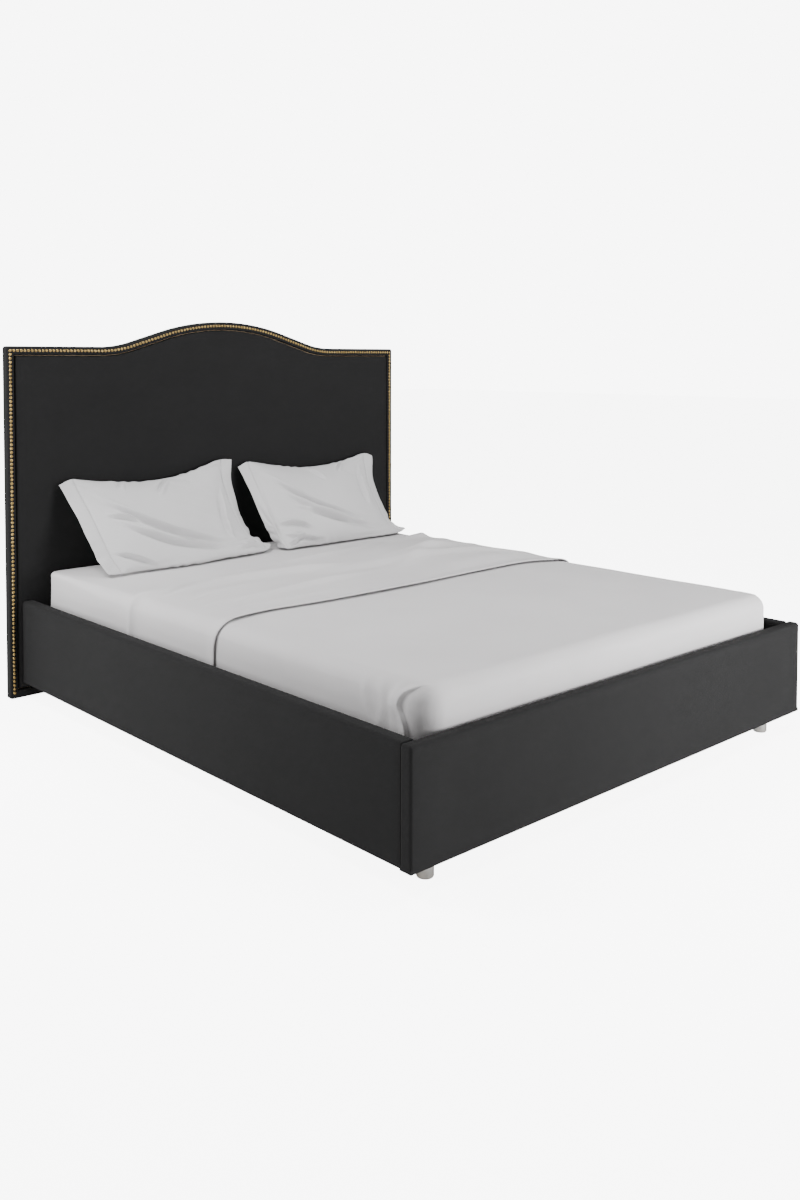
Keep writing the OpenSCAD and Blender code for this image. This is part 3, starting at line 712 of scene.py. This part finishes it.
def fitted_sheet():
    """Fitted sheet: smooth over the whole mattress, drawn in underneath."""
    surface = BedSurface(FITTED_HIGH.x - 0.0006, FITTED_LOW.y + 0.0006, FITTED_HIGH.y - 0.0006,
                         FITTED_HIGH.z - 0.0008, inset=0.001)
    depth = FITTED_HIGH.z - MATTRESS_LOW.z + 0.001
    rows = [[surface.point(x, y, fitted_lift(x, y)) for x, y in places]
            for places in surface.places(depth, 0.025)]
    piece = grid_object("fitted_sheet_cloth", rows, SHEET_CLOTH)
    draw_in_hem(piece)
    thicken(fix_normals(piece), SHEET_THICKNESS, offset=-1.0)
    stands_for(piece, "platform", ["fitted_sheet"])
    return piece


def edge_patch(rows, i, j):
    """Point inside a grid's border, blended from the border alone."""
    t, s = i / (len(rows) - 1), j / (len(rows[0]) - 1)
    across = rows[0][j] * (1 - t) + rows[-1][j] * t
    along_bed = rows[i][0] * (1 - s) + rows[i][-1] * s
    twist = ((rows[0][0] * (1 - s) + rows[0][-1] * s) * (1 - t)
             + (rows[-1][0] * (1 - s) + rows[-1][-1] * s) * t)
    return across + along_bed - twist


def quilted(p):
    """Moves a point of the underside up between the quilting's buttons, 160 mm apart."""
    quilt = abs(math.sin(p.x * math.pi / 0.16)) * abs(math.sin(p.y * math.pi / 0.16))
    flat = abs(p.x) < 0.74 and MATTRESS_LOW.y + 0.06 < p.y < MATTRESS_HIGH.y - 0.06
    p.z = MATTRESS_LOW.z + (0.004 * (1 - quilt) if flat else 0.0)
    return p


def mattress():
    """Foam block with a quilted underside."""
    low, high = MATTRESS_LOW, MATTRESS_HIGH
    rim = 0.01
    surface = BedSurface(high.x - 0.001, low.y + 0.001, high.y - 0.001, high.z - 0.001,
                         inset=0.003)
    rows = [[surface.point(x, y, 0.0) for x, y in places]
            for places in surface.places(high.z - low.z - rim, 0.035)]
    height, width = len(rows), len(rows[0])
    verts = [p for row in rows for p in row]
    under = {}
    for i in range(1, height - 1):
        for j in range(1, width - 1):
            under[i, j] = len(verts)
            verts.append(quilted(edge_patch(rows, i, j)))
    faces = []
    for i in range(height - 1):
        for j in range(width - 1):
            cell = ((i, j), (i, j + 1), (i + 1, j + 1), (i + 1, j))
            faces.append(tuple(r * width + c for r, c in cell))
            faces.append(tuple(under.get((r, c), r * width + c) for r, c in reversed(cell)))
    piece = fix_normals(mesh_object("mattress_block", verts, faces, TICKING))
    stands_for(piece, "platform", ["mattress"])
    return piece


# Head fold and hem of the turned-down sheet: (place across, distance from the head) in mm
FOLD_LINE = curve_through((-950, 640), (-820, 646), (-760, 660), (-700, 664), (-630, 628),
                          (-550, 596), (-470, 576), (-300, 552), (0, 500), (400, 430),
                          (700, 385), (950, 360))
HEM_LINE = curve_through((-950, 1119), (-860, 1119), (-830, 1126), (-800, 1136), (-770, 1138),
                         (-730, 1124), (-660, 1112), (-590, 1108), (-390, 1122), (-160, 1122),
                         (85, 1118), (370, 1104), (620, 1104), (760, 1160), (810, 1170),
                         (860, 1150), (950, 1140))
FOLD_R = 0.009

# Wrinkles of the turned-down band: (share of the way from fold to hem at the left and at the
# right end, place across where it starts and stops, height, width as a share of the band)
BAND_WRINKLES = [
    (0.1, 0.3, -0.8, 0.1, 0.015, 0.055), (0.08, 0.5, -0.55, 0.72, 0.013, 0.06),
    (0.4, 0.24, -0.78, -0.2, 0.01, 0.04), (0.56, 0.6, -0.8, 0.05, 0.0095, 0.045),
    (0.3, 0.76, -0.15, 0.85, 0.013, 0.065), (0.72, 0.5, -0.7, 0.2, 0.007, 0.035),
    (0.62, 0.16, 0.1, 0.85, 0.012, 0.06), (0.86, 0.76, -0.75, -0.1, 0.0055, 0.035),
    (0.44, 0.36, 0.3, 0.84, 0.009, 0.04),
]


def band_height(share, across):
    height = 0.0
    for left, right, start, stop, size, width in BAND_WRINKLES:
        if start < across < stop:
            t = (across - start) / (stop - start)
            line = left + (right - left) * t + 0.035 * math.sin(6.0 * across + 9 * left)
            height += size * bell(share - line, width) * window(across, start, stop, 0.22)
    return height


# The folded corner's lip and the soft folds behind it: (distance down the side, distance from
# the head) in mm, and each fold's height and width in metres
LIP_LINE = curve_through((0, 1985), (30, 1958), (55, 1930), (80, 1918), (100, 1930),
                         (120, 1940), (160, 1946), (240, 1948))
SIDE_FOLDS = [
    (curve_through((20, 1915), (50, 1905), (80, 1890), (160, 1905)), 0.0042, 0.014),
    (curve_through((30, 1850), (90, 1860), (160, 1842)), 0.0034, 0.016),
    (curve_through((50, 1790), (100, 1797), (160, 1824)), 0.0028, 0.018),
]
LIP_HEIGHT = 0.01
LIP_WIDTH = 0.02
SHEET_DROP = 0.16
SHEET_GAP = 0.0012
BAND_GAP = 0.0038
LOWEST_LIFT = 0.0004
BAND_STEPS = 52
HEM_RISE = 0.008
HEM_ON_SIDES = 0.4
BAND_LOFT = 0.021


def corner_lip(x, y, surface):
    """Height of the folded corner's lip on the sides, near the foot."""
    down = abs(x) - surface.flat_x
    if down <= 0.0:
        return 0.0
    place = FACE_Y - surface.point(x, y, 0.0).y
    behind = LIP_LINE(down) - place
    if behind < 0:
        return 0.0
    height = LIP_HEIGHT * math.exp(-((behind - 0.003) / LIP_WIDTH) ** 2) * smooth_step(
        (down - 0.01) / 0.05)
    for line, size, width in SIDE_FOLDS:
        height += size * bell(place - line(down), width) * smooth_step(down / 0.05)
    return height


def single_layer(surface, x, over):
    """The sheet from the tucked foot to the fold, with close rows at the corner's lip."""
    lip = surface.cloth_y(x, LIP_LINE(max(abs(x) - surface.flat_x, 0.0)))
    half_way = y_at(1.4)
    ys = [*np.linspace(surface.flat_foot - over, lip - 0.0035, 34), lip + 0.0005, lip + 0.003,
          *np.linspace(lip + 0.006, lip + 0.24, 26),
          *np.linspace(lip + 0.24, half_way, 16)[1:],
          *np.linspace(half_way, y_at(FOLD_LINE(x)), 30)[1:]]
    points = []
    for y in ys:
        droop = 0.0008 * math.sin(9 * x + 4 * y) + 0.0006 * math.sin(17 * y - 6 * x)
        lift = SHEET_GAP + droop + corner_lip(x, y, surface)
        points.append(surface.point(x, y, max(lift, LOWEST_LIFT)))
    return points


def turned_band(surface, x):
    """The fold, the wrinkled band on top and its turned hem."""
    fold, hem = y_at(FOLD_LINE(x)), y_at(HEM_LINE(x))
    hem_rise = HEM_RISE * (HEM_ON_SIDES + (1 - HEM_ON_SIDES) * smooth_step(
        (0.8 - abs(x)) / 0.06))
    puff = FOLD_R * (1 + 0.25 * math.sin(7 * x + 1.3))
    points = [surface.point(x, fold + puff * math.sin(a), SHEET_GAP + puff * (1 - math.cos(a)))
              for a in np.linspace(0.25, math.pi - 0.25, 6)]
    for i in range(1, BAND_STEPS + 1):
        share = i / BAND_STEPS
        settle = 2 * FOLD_R * math.exp(-share * 24) + BAND_GAP
        edge = hem_rise * smooth_step((share - 0.9) / 0.1)
        loft = BAND_LOFT * window(x, 0.15, 0.86, 0.3) * window(share, 0.0, 1.0, 0.22)
        lift = SHEET_GAP + settle + edge + loft + band_height(share, x)
        points.append(surface.point(x, fold + (hem - fold) * share, lift))
    last = SHEET_GAP + BAND_GAP + hem_rise + band_height(1.0, x)
    for dy, drop in ((-0.0016, 0.0004), (-0.0024, 0.0014), (-0.0018, 0.0024), (0.004, 0.0026),
                     (0.016, 0.003)):
        points.append(surface.point(x, hem + dy, max(last - drop, 0.003)))
    return points


def top_sheet():
    """Top sheet: tucked at the foot and sides, turned down at the head in a wrinkled band."""
    surface = BedSurface(TOP_HIGH.x - 0.0022, TOP_LOW.y + 0.0022, FITTED_HIGH.y,
                         FITTED_HIGH.z + 0.0006)
    quarter = SIDE_EDGE_R * math.pi / 2
    over = quarter + SHEET_DROP - SIDE_EDGE_R
    flat_x = surface.flat_x
    left = spaced(-flat_x - over, -flat_x - quarter, 0.01)
    left += spaced(-flat_x - quarter, -flat_x, 0.0065)[1:]
    xs = left + spaced(-flat_x, flat_x, 0.014)[1:-1] + [-v for v in reversed(left)]
    columns = [single_layer(surface, x, over) + turned_band(surface, x) for x in xs]
    piece = grid_object("top_sheet_cloth", list(zip(*columns)), SHEET_CLOTH)
    thicken(fix_normals(piece), SHEET_THICKNESS, offset=0.0)
    stands_for(piece, "platform", ["top_sheet"])
    return piece


# ---- pillows

PILLOW_FLAT = (0.85, 0.52)
FLANGE = 0.058
FLANGE_THICKNESS = 0.0026
PILLOW_STEP = 0.0125
PILLOW_FRAMES = 35
BED_TOP = FITTED_HIGH.z + 0.0015
# Border of each leaning pillow: its low and high edge, then the inner points of its left and
# right edge, as (across, away from the headboard, above the bed) in mm
PILLOW_LINES = {
    "left": [
        [(-700, 292, 10), (-615, 285, 6), (-490, 285, 6), (-350, 290, 6), (-170, 272, 8),
         (-20, 252, 8), (45, 232, 10), (94, 180, 12)],
        [(-757, 24, 314), (-700, 24, 333), (-580, 26, 318), (-390, 28, 305), (-220, 26, 322),
         (-65, 24, 364), (10, 24, 364)],
        [(-735, 110, 207), (-724, 200, 104), (-717, 250, 50)],
        [(0, 40, 277), (22, 65, 149), (50, 100, 61), (80, 135, 33)]],
    "right": [
        [(120, 205, 10), (128, 258, 6), (240, 262, 6), (310, 264, 6), (490, 258, 6),
         (697, 258, 6), (765, 245, 8), (832, 205, 8)],
        [(43, 24, 330), (108, 24, 350), (250, 26, 325), (410, 28, 309), (590, 26, 320),
         (735, 24, 348), (793, 24, 334)],
        [(60, 80, 241), (78, 140, 125), (100, 175, 50)],
        [(775, 55, 222), (786, 95, 133), (803, 145, 40)]],
}
# Wrinkles pressed into the front panel: start and end (x, z, x, z) in hundredths of its width
# and height, then how far the middle bows to the side, the height and the width in mm
PILLOW_WRINKLES = {
    "left": [(15, 80, 72, 20, 35, 12, 13), (17, 56, 70, 11, 30, 11.5, 12),
             (14, 60, 32, 50, -10, 8, 9), (89, 72, 78, 20, 12, 8.5, 11),
             (60, 97, 48, 76, 0, 6, 11), (34, 98, 30, 84, 0, 5, 10), (9, 24, 26, 6, 0, 8, 9),
             (78, 18, 95, 5, 0, 8, 10), (70, 8, 92, 16, 0, 5, 8)],
    "right": [(14, 86, 70, 26, 35, 12.5, 13), (18, 68, 78, 14, 30, 12, 13),
              (24, 48, 62, 18, -20, 8, 11), (86, 86, 83, 40, 10, 8.5, 12),
              (9, 30, 30, 22, -20, 10, 10), (10, 18, 34, 9, 10, 9.5, 9),
              (9, 7, 22, 15, 0, 8.5, 8), (48, 97, 57, 78, 0, 6, 11),
              (74, 96, 68, 84, 0, 5, 10)],
}


def bed_point(p):
    return Vector((p[0] / 1000, y_at(p[1] / 1000), BED_TOP + p[2] / 1000))


def pillow_edges(side):
    """The four edges as points: low, high, and the left and right ones, which run down."""
    low, high, left, right = ([bed_point(p) for p in line] for line in PILLOW_LINES[side])
    return low, high, [high[0], *left, low[0]], [high[-1], *right, low[-1]]


def along(points, share):
    """Point at a share of a smooth curve's length."""
    reach = [0.0]
    for a, b in zip(points, points[1:]):
        reach.append(reach[-1] + (b - a).length)
    d = share * reach[-1]
    k = min(max(sum(1 for r in reach if r <= d) - 1, 0), len(points) - 2)
    a, b = points[k], points[k + 1]
    return hermite((d - reach[k]) / (reach[k + 1] - reach[k]), a, b,
                   (b - points[max(k - 1, 0)]) / 2,
                   (points[min(k + 2, len(points) - 1)] - a) / 2)


def between_edges(edges, s, t):
    """Point of the surface that fills four edges, s across and t upwards."""
    low, high, left, right = edges
    flat = ((low[0] * (1 - s) + low[-1] * s) * (1 - t)
            + (high[0] * (1 - s) + high[-1] * s) * t)
    return (along(low, s) * (1 - t) + along(high, s) * t + along(left, 1 - t) * (1 - s)
            + along(right, 1 - t) * s - flat)


class PillowCut:
    """A pillowcase laid flat: two panels sewn along their border, with a flange at each end."""

    def __init__(self, edges, puff):
        width, height = PILLOW_FLAT
        self.xs = (spaced(0, FLANGE, PILLOW_STEP)
                   + spaced(FLANGE, width - FLANGE, PILLOW_STEP)[1:]
                   + spaced(width - FLANGE, width, PILLOW_STEP)[1:])
        self.zs = spaced(0, height, PILLOW_STEP)
        self.nx, self.nz = len(self.xs) - 1, len(self.zs) - 1
        flange_cells = len(spaced(0, FLANGE, PILLOW_STEP)) - 1
        self.first, self.last = flange_cells, self.nx - flange_cells
        self.index, self.flat, self.start = {}, [], []
        for j in range(self.nz + 1):
            for i in range(self.nx + 1):
                self.add_point(edges, puff, 0, i, j)
                if self.inside(i, j):
                    self.add_point(edges, puff, 1, i, j)
        self.panels, self.flanges = [], []
        for j in range(self.nz):
            for i in range(self.nx):
                cell = ((i, j), (i + 1, j), (i + 1, j + 1), (i, j + 1))
                front = tuple(self.index[0, a, b] for a, b in cell)
                if self.first <= i < self.last:
                    self.panels.append(front)
                    self.panels.append(tuple(self.back(a, b) for a, b in reversed(cell)))
                else:
                    self.flanges.append(front)

    def inside(self, i, j):
        return self.first < i < self.last and 0 < j < self.nz

    def back(self, i, j):
        return self.index.get((1, i, j), self.index[0, i, j])

    def add_point(self, edges, puff, layer, i, j):
        width, height = PILLOW_FLAT
        s, t = self.xs[i] / width, self.zs[j] / height
        step = 0.004
        across = (between_edges(edges, min(s + step, 1), t)
                  - between_edges(edges, max(s - step, 0), t))
        up = (between_edges(edges, s, min(t + step, 1))
              - between_edges(edges, s, max(t - step, 0)))
        swell = 0.0
        if self.inside(i, j):
            a = (self.xs[i] - FLANGE) / (width - 2 * FLANGE)
            swell = puff * (16 * a * (1 - a) * t * (1 - t)) ** 0.35
        self.index[layer, i, j] = len(self.flat)
        self.flat.append(Vector((self.xs[i], 0, self.zs[j])))
        self.start.append(between_edges(edges, s, t)
                          + across.cross(up).normalized() * (swell if layer == 0 else -swell))


PILLOW_CLOTH_SETTINGS = {
    "quality": 8, "mass": 0.02, "tension_stiffness": 800.0, "compression_stiffness": 800.0,
    "shear_stiffness": 240.0, "bending_stiffness": 0.03, "air_damping": 1.5,
    "pin_stiffness": 30.0, "use_pressure": True, "uniform_pressure_force": 0.0,
    "use_pressure_volume": True, "target_volume": 0.0185, "pressure_factor": 200.0,
    "vertex_group_mass": "hold", "vertex_group_pressure": "filled",
}


def cloth_object(name, cut):
    """Pillowcase ready to be filled: its corners are held, and its border is held softly."""
    obj = mesh_object(name, cut.start, cut.panels + cut.flanges, None)
    obj.shape_key_add(name="start")
    flat = obj.shape_key_add(name="flat")
    for point, place in zip(flat.data, cut.flat):
        point.co = place
    flat.value = 0.0
    hold = obj.vertex_groups.new(name="hold")
    for j in range(cut.nz + 1):
        for i in range(cut.nx + 1):
            if i in (0, cut.first, cut.last, cut.nx) and j in (0, cut.nz):
                hold.add([cut.index[0, i, j]], 1.0, "REPLACE")
            elif i in (0, cut.nx) or j in (0, cut.nz):
                hold.add([cut.index[0, i, j]], 0.5, "REPLACE")
    filled = obj.vertex_groups.new(name="filled")
    filled.add(sorted({v for face in cut.panels for v in face}), 1.0, "REPLACE")
    modifier = obj.modifiers.new("cloth", "CLOTH")
    for key, value in PILLOW_CLOTH_SETTINGS.items():
        setattr(modifier.settings, key, value)
    modifier.settings.rest_shape_key = flat
    modifier.settings.effector_weights.gravity = 0.14
    modifier.collision_settings.distance_min = 0.003
    modifier.collision_settings.collision_quality = 3
    modifier.collision_settings.use_self_collision = False
    modifier.point_cache.frame_start = 1
    modifier.point_cache.frame_end = PILLOW_FRAMES
    return obj


def box_faces(low, high):
    verts = [(x, y, z) for x in (low[0], high[0]) for y in (low[1], high[1])
             for z in (low[2], high[2])]
    faces = [(0, 1, 3, 2), (4, 6, 7, 5), (0, 4, 5, 1), (2, 3, 7, 6), (0, 2, 6, 4), (1, 5, 7, 3)]
    return verts, faces


def collider(name, low, high):
    obj = fix_normals(mesh_object(name, *box_faces(low, high), None, smooth=False))
    obj.modifiers.new("collision", "COLLISION")
    obj.collision.thickness_outer = 0.004
    obj.collision.cloth_friction = 25.0
    return obj


def fill_pillows(cases):
    """Runs the cloth against the headboard and the bed; gives each case's settled points."""
    walls = [collider("headboard_wall", (-1.0, FACE_Y - 0.002, 0.0), (1.0, FACE_Y + 0.3, 1.3)),
             collider("bed_wall", (MATTRESS_LOW.x, MATTRESS_LOW.y, 0.1),
                      (MATTRESS_HIGH.x, FACE_Y + 0.2, BED_TOP))]
    scene = bpy.context.scene
    scene.frame_start, scene.frame_end = 1, PILLOW_FRAMES
    for frame_number in range(1, PILLOW_FRAMES + 1):
        scene.frame_set(frame_number)
    depsgraph = bpy.context.evaluated_depsgraph_get()
    settled = [[v.co.copy() for v in case.evaluated_get(depsgraph).to_mesh().vertices]
               for case in cases]
    for obj in walls + cases:
        bpy.data.objects.remove(obj)
    scene.frame_set(1)
    return settled


def doubled(values):
    """Twice as many cells along the first axis, by a smooth four-point rule."""
    between = (values[:-1] + values[1:]) / 2
    between[1:-1] = (9 * (values[1:-2] + values[2:-1]) - values[:-3] - values[3:]) / 16
    out = np.empty((2 * len(values) - 1, *values.shape[1:]))
    out[::2], out[1::2] = values, between
    return out


class PillowSkin:
    """The settled pillow on a finer grid: front and back arrays indexed [up, across]."""

    def __init__(self, cut, places):
        def grid(pick):
            return np.array([[places[pick(i, j)][:] for i in range(cut.nx + 1)]
                             for j in range(cut.nz + 1)])
        self.first, self.last = 2 * cut.first, 2 * cut.last
        self.front = self.finer(grid(lambda i, j: cut.index[0, i, j]), cut)
        self.back = self.finer(grid(cut.back), cut)
        xs = self.finer_line(np.array(cut.xs), cut)
        self.x, self.z = np.meshgrid(xs, doubled(np.array(cut.zs)))
        self.inner = np.zeros(self.x.shape, bool)
        self.inner[1:-1, self.first + 1:self.last] = True

    def finer_line(self, values, cut):
        """Each flange and the panel are refined apart, which keeps the seams crisp."""
        parts = [doubled(values[a:b + 1]) for a, b in
                 ((0, cut.first), (cut.first, cut.last), (cut.last, cut.nx))]
        return np.concatenate([parts[0], parts[1][1:], parts[2][1:]])

    def finer(self, rows, cut):
        across = self.finer_line(np.swapaxes(rows, 0, 1), cut)
        return doubled(np.swapaxes(across, 0, 1))

    def normals(self):
        normal = np.cross(np.gradient(self.front, axis=1), np.gradient(self.front, axis=0))
        return normal / np.linalg.norm(normal, axis=2, keepdims=True)


def eased(t):
    t = np.clip(t, 0.0, 1.0)
    return t * t * (3 - 2 * t)


PILLOW_WRINKLE_GAIN = 1.9
SEAM_GROOVE = 0.006
FLANGE_RIPPLE = {"left": (0.0025, 0.006), "right": (0.005, 0.0035)}


def panel_wrinkles(side, skin):
    """Height of the front panel's wrinkles and of the grooves along its seams."""
    x, z = skin.x, skin.z
    push = np.zeros(x.shape)
    for x0, z0, x1, z1, *sizes in PILLOW_WRINKLES[side]:
        bow, size, spread = (v / 1000 for v in sizes)
        a = np.array((x0, z0)) / 100 * PILLOW_FLAT
        way = np.array((x1, z1)) / 100 * PILLOW_FLAT - a
        length = np.linalg.norm(way)
        way = way / length
        run = ((x - a[0]) * way[0] + (z - a[1]) * way[1]) / length
        off = (z - a[1]) * way[0] - (x - a[0]) * way[1] + bow * 4 * run * (1 - run)
        shape = bell(off, spread) - 0.7 * bell(off + spread * 1.7, spread)
        push += size * shape * eased((run + 0.05) / 0.4) * eased((1.05 - run) / 0.4)
    push *= PILLOW_WRINKLE_GAIN
    for seam in (skin.first, skin.last):
        push -= SEAM_GROOVE * bell(x - x[0, seam], 0.01)
    return push * skin.inner


def border_ripple(side, skin):
    """Height of the puckers along the edges and of the crumpled flanges."""
    width, height = PILLOW_FLAT
    across, up = skin.x / width, skin.z / height
    gap = np.minimum(skin.z, height - skin.z)
    ripple = np.exp(-gap / 0.022) * eased(across / 0.1) * eased((1 - across) / 0.1)
    ripple *= np.where(up > 0.5, 0.0014, 0.0032)
    ripple *= np.sin(62 * across + 3.5 * np.sin(17 * across))
    low_end = eased((0.5 - up) / 0.4)
    sizes = FLANGE_RIPPLE[side]
    for sign, seam, size, phase in ((-1, skin.first, sizes[0], 2.0),
                                    (1, skin.last, sizes[1], 0.4)):
        out = np.clip(sign * (skin.x - skin.x[0, seam]) / FLANGE, 0.0, 1.0)
        ripple += out * (low_end * size * np.sin(46 * up + phase)
                         + 0.0016 * np.sin(21 * up + 1.0))
    return ripple


def press_wrinkles(side, skin):
    normal = skin.normals()
    edge = border_ripple(side, skin)[..., None] * normal
    skin.front = skin.front + panel_wrinkles(side, skin)[..., None] * normal + edge
    skin.back = np.where(skin.inner[..., None], skin.back, skin.back + edge)


def pillow_piece(side, cut, places):
    """Closed stuffed part with a hemmed flange at each end."""
    skin = PillowSkin(cut, places)
    press_wrinkles(side, skin)
    rows, columns = skin.x.shape
    verts = list(skin.front.reshape(-1, 3)) + list(skin.back.reshape(-1, 3))

    def vert(layer, j, i):
        return (layer * rows * columns if skin.inner[j, i] else 0) + j * columns + i

    faces = []
    for j in range(rows - 1):
        for i in range(skin.first, skin.last):
            cell = ((j, i), (j, i + 1), (j + 1, i + 1), (j + 1, i))
            faces.append(tuple(vert(0, *c) for c in cell))
            faces.append(tuple(vert(1, *c) for c in reversed(cell)))
    body = mesh_object(f"{side}_pillow_cushion", verts, faces, PILLOW_CLOTH)
    strips = []
    for first, last in ((0, skin.first + 1), (skin.last - 1, columns - 1)):
        middle = (skin.front[:, first:last + 1] + skin.back[:, first:last + 1]) / 2
        strip = grid_object("flange", middle, PILLOW_CLOTH)
        strips.append(thicken(strip, FLANGE_THICKNESS, offset=0.0))
    bm = bmesh.new()
    bm.from_mesh(body.data)
    bmesh.ops.delete(bm, geom=[v for v in bm.verts if not v.link_faces], context="VERTS")
    for strip in strips:
        bm.from_mesh(strip.data)
        bpy.data.objects.remove(strip)
    bmesh.ops.recalc_face_normals(bm, faces=bm.faces)
    bm.to_mesh(body.data)
    bm.free()
    for polygon in body.data.polygons:
        polygon.use_smooth = True
    for v in body.data.vertices:
        if abs(v.co.x) < MATTRESS_HIGH.x - 0.02:
            v.co.z = max(v.co.z, BED_TOP - 0.0005)
        v.co.y = min(v.co.y, FACE_Y - 0.003)
    stands_for(body, f"{side}_pillow", [f"pillow_{side}"])
    return body


def pillows():
    puff = 0.012
    cuts = {side: PillowCut(pillow_edges(side), puff) for side in ("left", "right")}
    settled = fill_pillows([cloth_object(f"{side}_case", cut)
                            for side, cut in cuts.items()])
    for (side, cut), places in zip(cuts.items(), settled):
        pillow_piece(side, cut, places)


# ---- stage, light and camera


def stage():
    """Pale studio floor that runs out to a white backdrop."""
    m = Nodes("studio_floor")
    m.color(m.noise(0.6, detail=2.0), (0.3, (0.9, 0.9, 0.9)), (0.7, (0.92, 0.92, 0.92)))
    m.set(Roughness=0.95, Specular_IOR_Level=0.1, Emission_Color=(1.0, 1.0, 1.0, 1.0))
    seen = m.add("LightPath").outputs["Is Camera Ray"]
    m.set(Emission_Strength=m.math("MULTIPLY", seen, FLOOR_GLOW))
    size = 30.0
    floor = mesh_object("studio_floor", [(-size, -size, 0), (size, -size, 0), (size, size, 0),
                                         (-size, size, 0)], [(0, 1, 2, 3)],
                        m.material, smooth=False)


BACKDROP = 7.9
SKY = 0.38
FLOOR_GLOW = 7.0


def lights():
    world = bpy.data.worlds.new("studio")
    bpy.context.scene.world = world
    world.use_nodes = True
    tree = world.node_tree
    background = tree.nodes["Background"]
    background.inputs["Color"].default_value = (1.0, 1.0, 1.0, 1.0)
    seen = tree.nodes.new("ShaderNodeLightPath").outputs["Is Camera Ray"]
    strength = tree.nodes.new("ShaderNodeMapRange")
    strength.inputs["To Min"].default_value = SKY
    strength.inputs["To Max"].default_value = BACKDROP
    tree.links.new(seen, strength.inputs["Value"])
    tree.links.new(strength.outputs[0], background.inputs["Strength"])

    def area(name, place, target, size, power):
        data = bpy.data.lights.new(name, "AREA")
        data.shape = "RECTANGLE"
        data.size, data.size_y = size
        data.energy = power
        lamp = bpy.data.objects.new(name, data)
        lamp.location = place
        lamp.rotation_euler = (Vector(target) - Vector(place)).to_track_quat(
            "-Z", "Y").to_euler()
        bpy.context.scene.collection.objects.link(lamp)

    area("front_key", (1.0, -3.2, 0.7), (0.3, -1.0, 0.3), (1.2, 0.8), 116)
    area("top_left", (-1.9, 0.9, 3.0), (0, -0.2, 0.4), (1.1, 1.1), 84)
    area("top_front", (0.8, -1.4, 3.2), (0, -0.2, 0.4), (1.4, 1.4), 60)
    area("rail_fill", (-2.4, 1.0, 0.9), (-0.9, 0.4, 0.3), (0.9, 0.9), 30)


def camera():
    data = bpy.data.cameras.new("camera")
    data.sensor_width = 36.0
    data.lens = 33.466
    data.shift_x = 0.0189
    data.shift_y = -0.1619
    data.clip_end = 100.0
    eye = bpy.data.objects.new("camera", data)
    eye.location = (-2.631, -2.854, 1.243)
    eye.rotation_euler = (math.pi / 2 - 0.042, 0.0, -0.733)
    bpy.context.scene.collection.objects.link(eye)
    bpy.context.scene.camera = eye


# ---- build

camera()
lights()
stage()
dress_cad_nodes()
headboard_border()
headboard_pad()
headboard_back()
headboard_staples()
side_rail("left")
side_rail("right")
footboard()
mattress()
fitted_sheet()
top_sheet()
pillows()
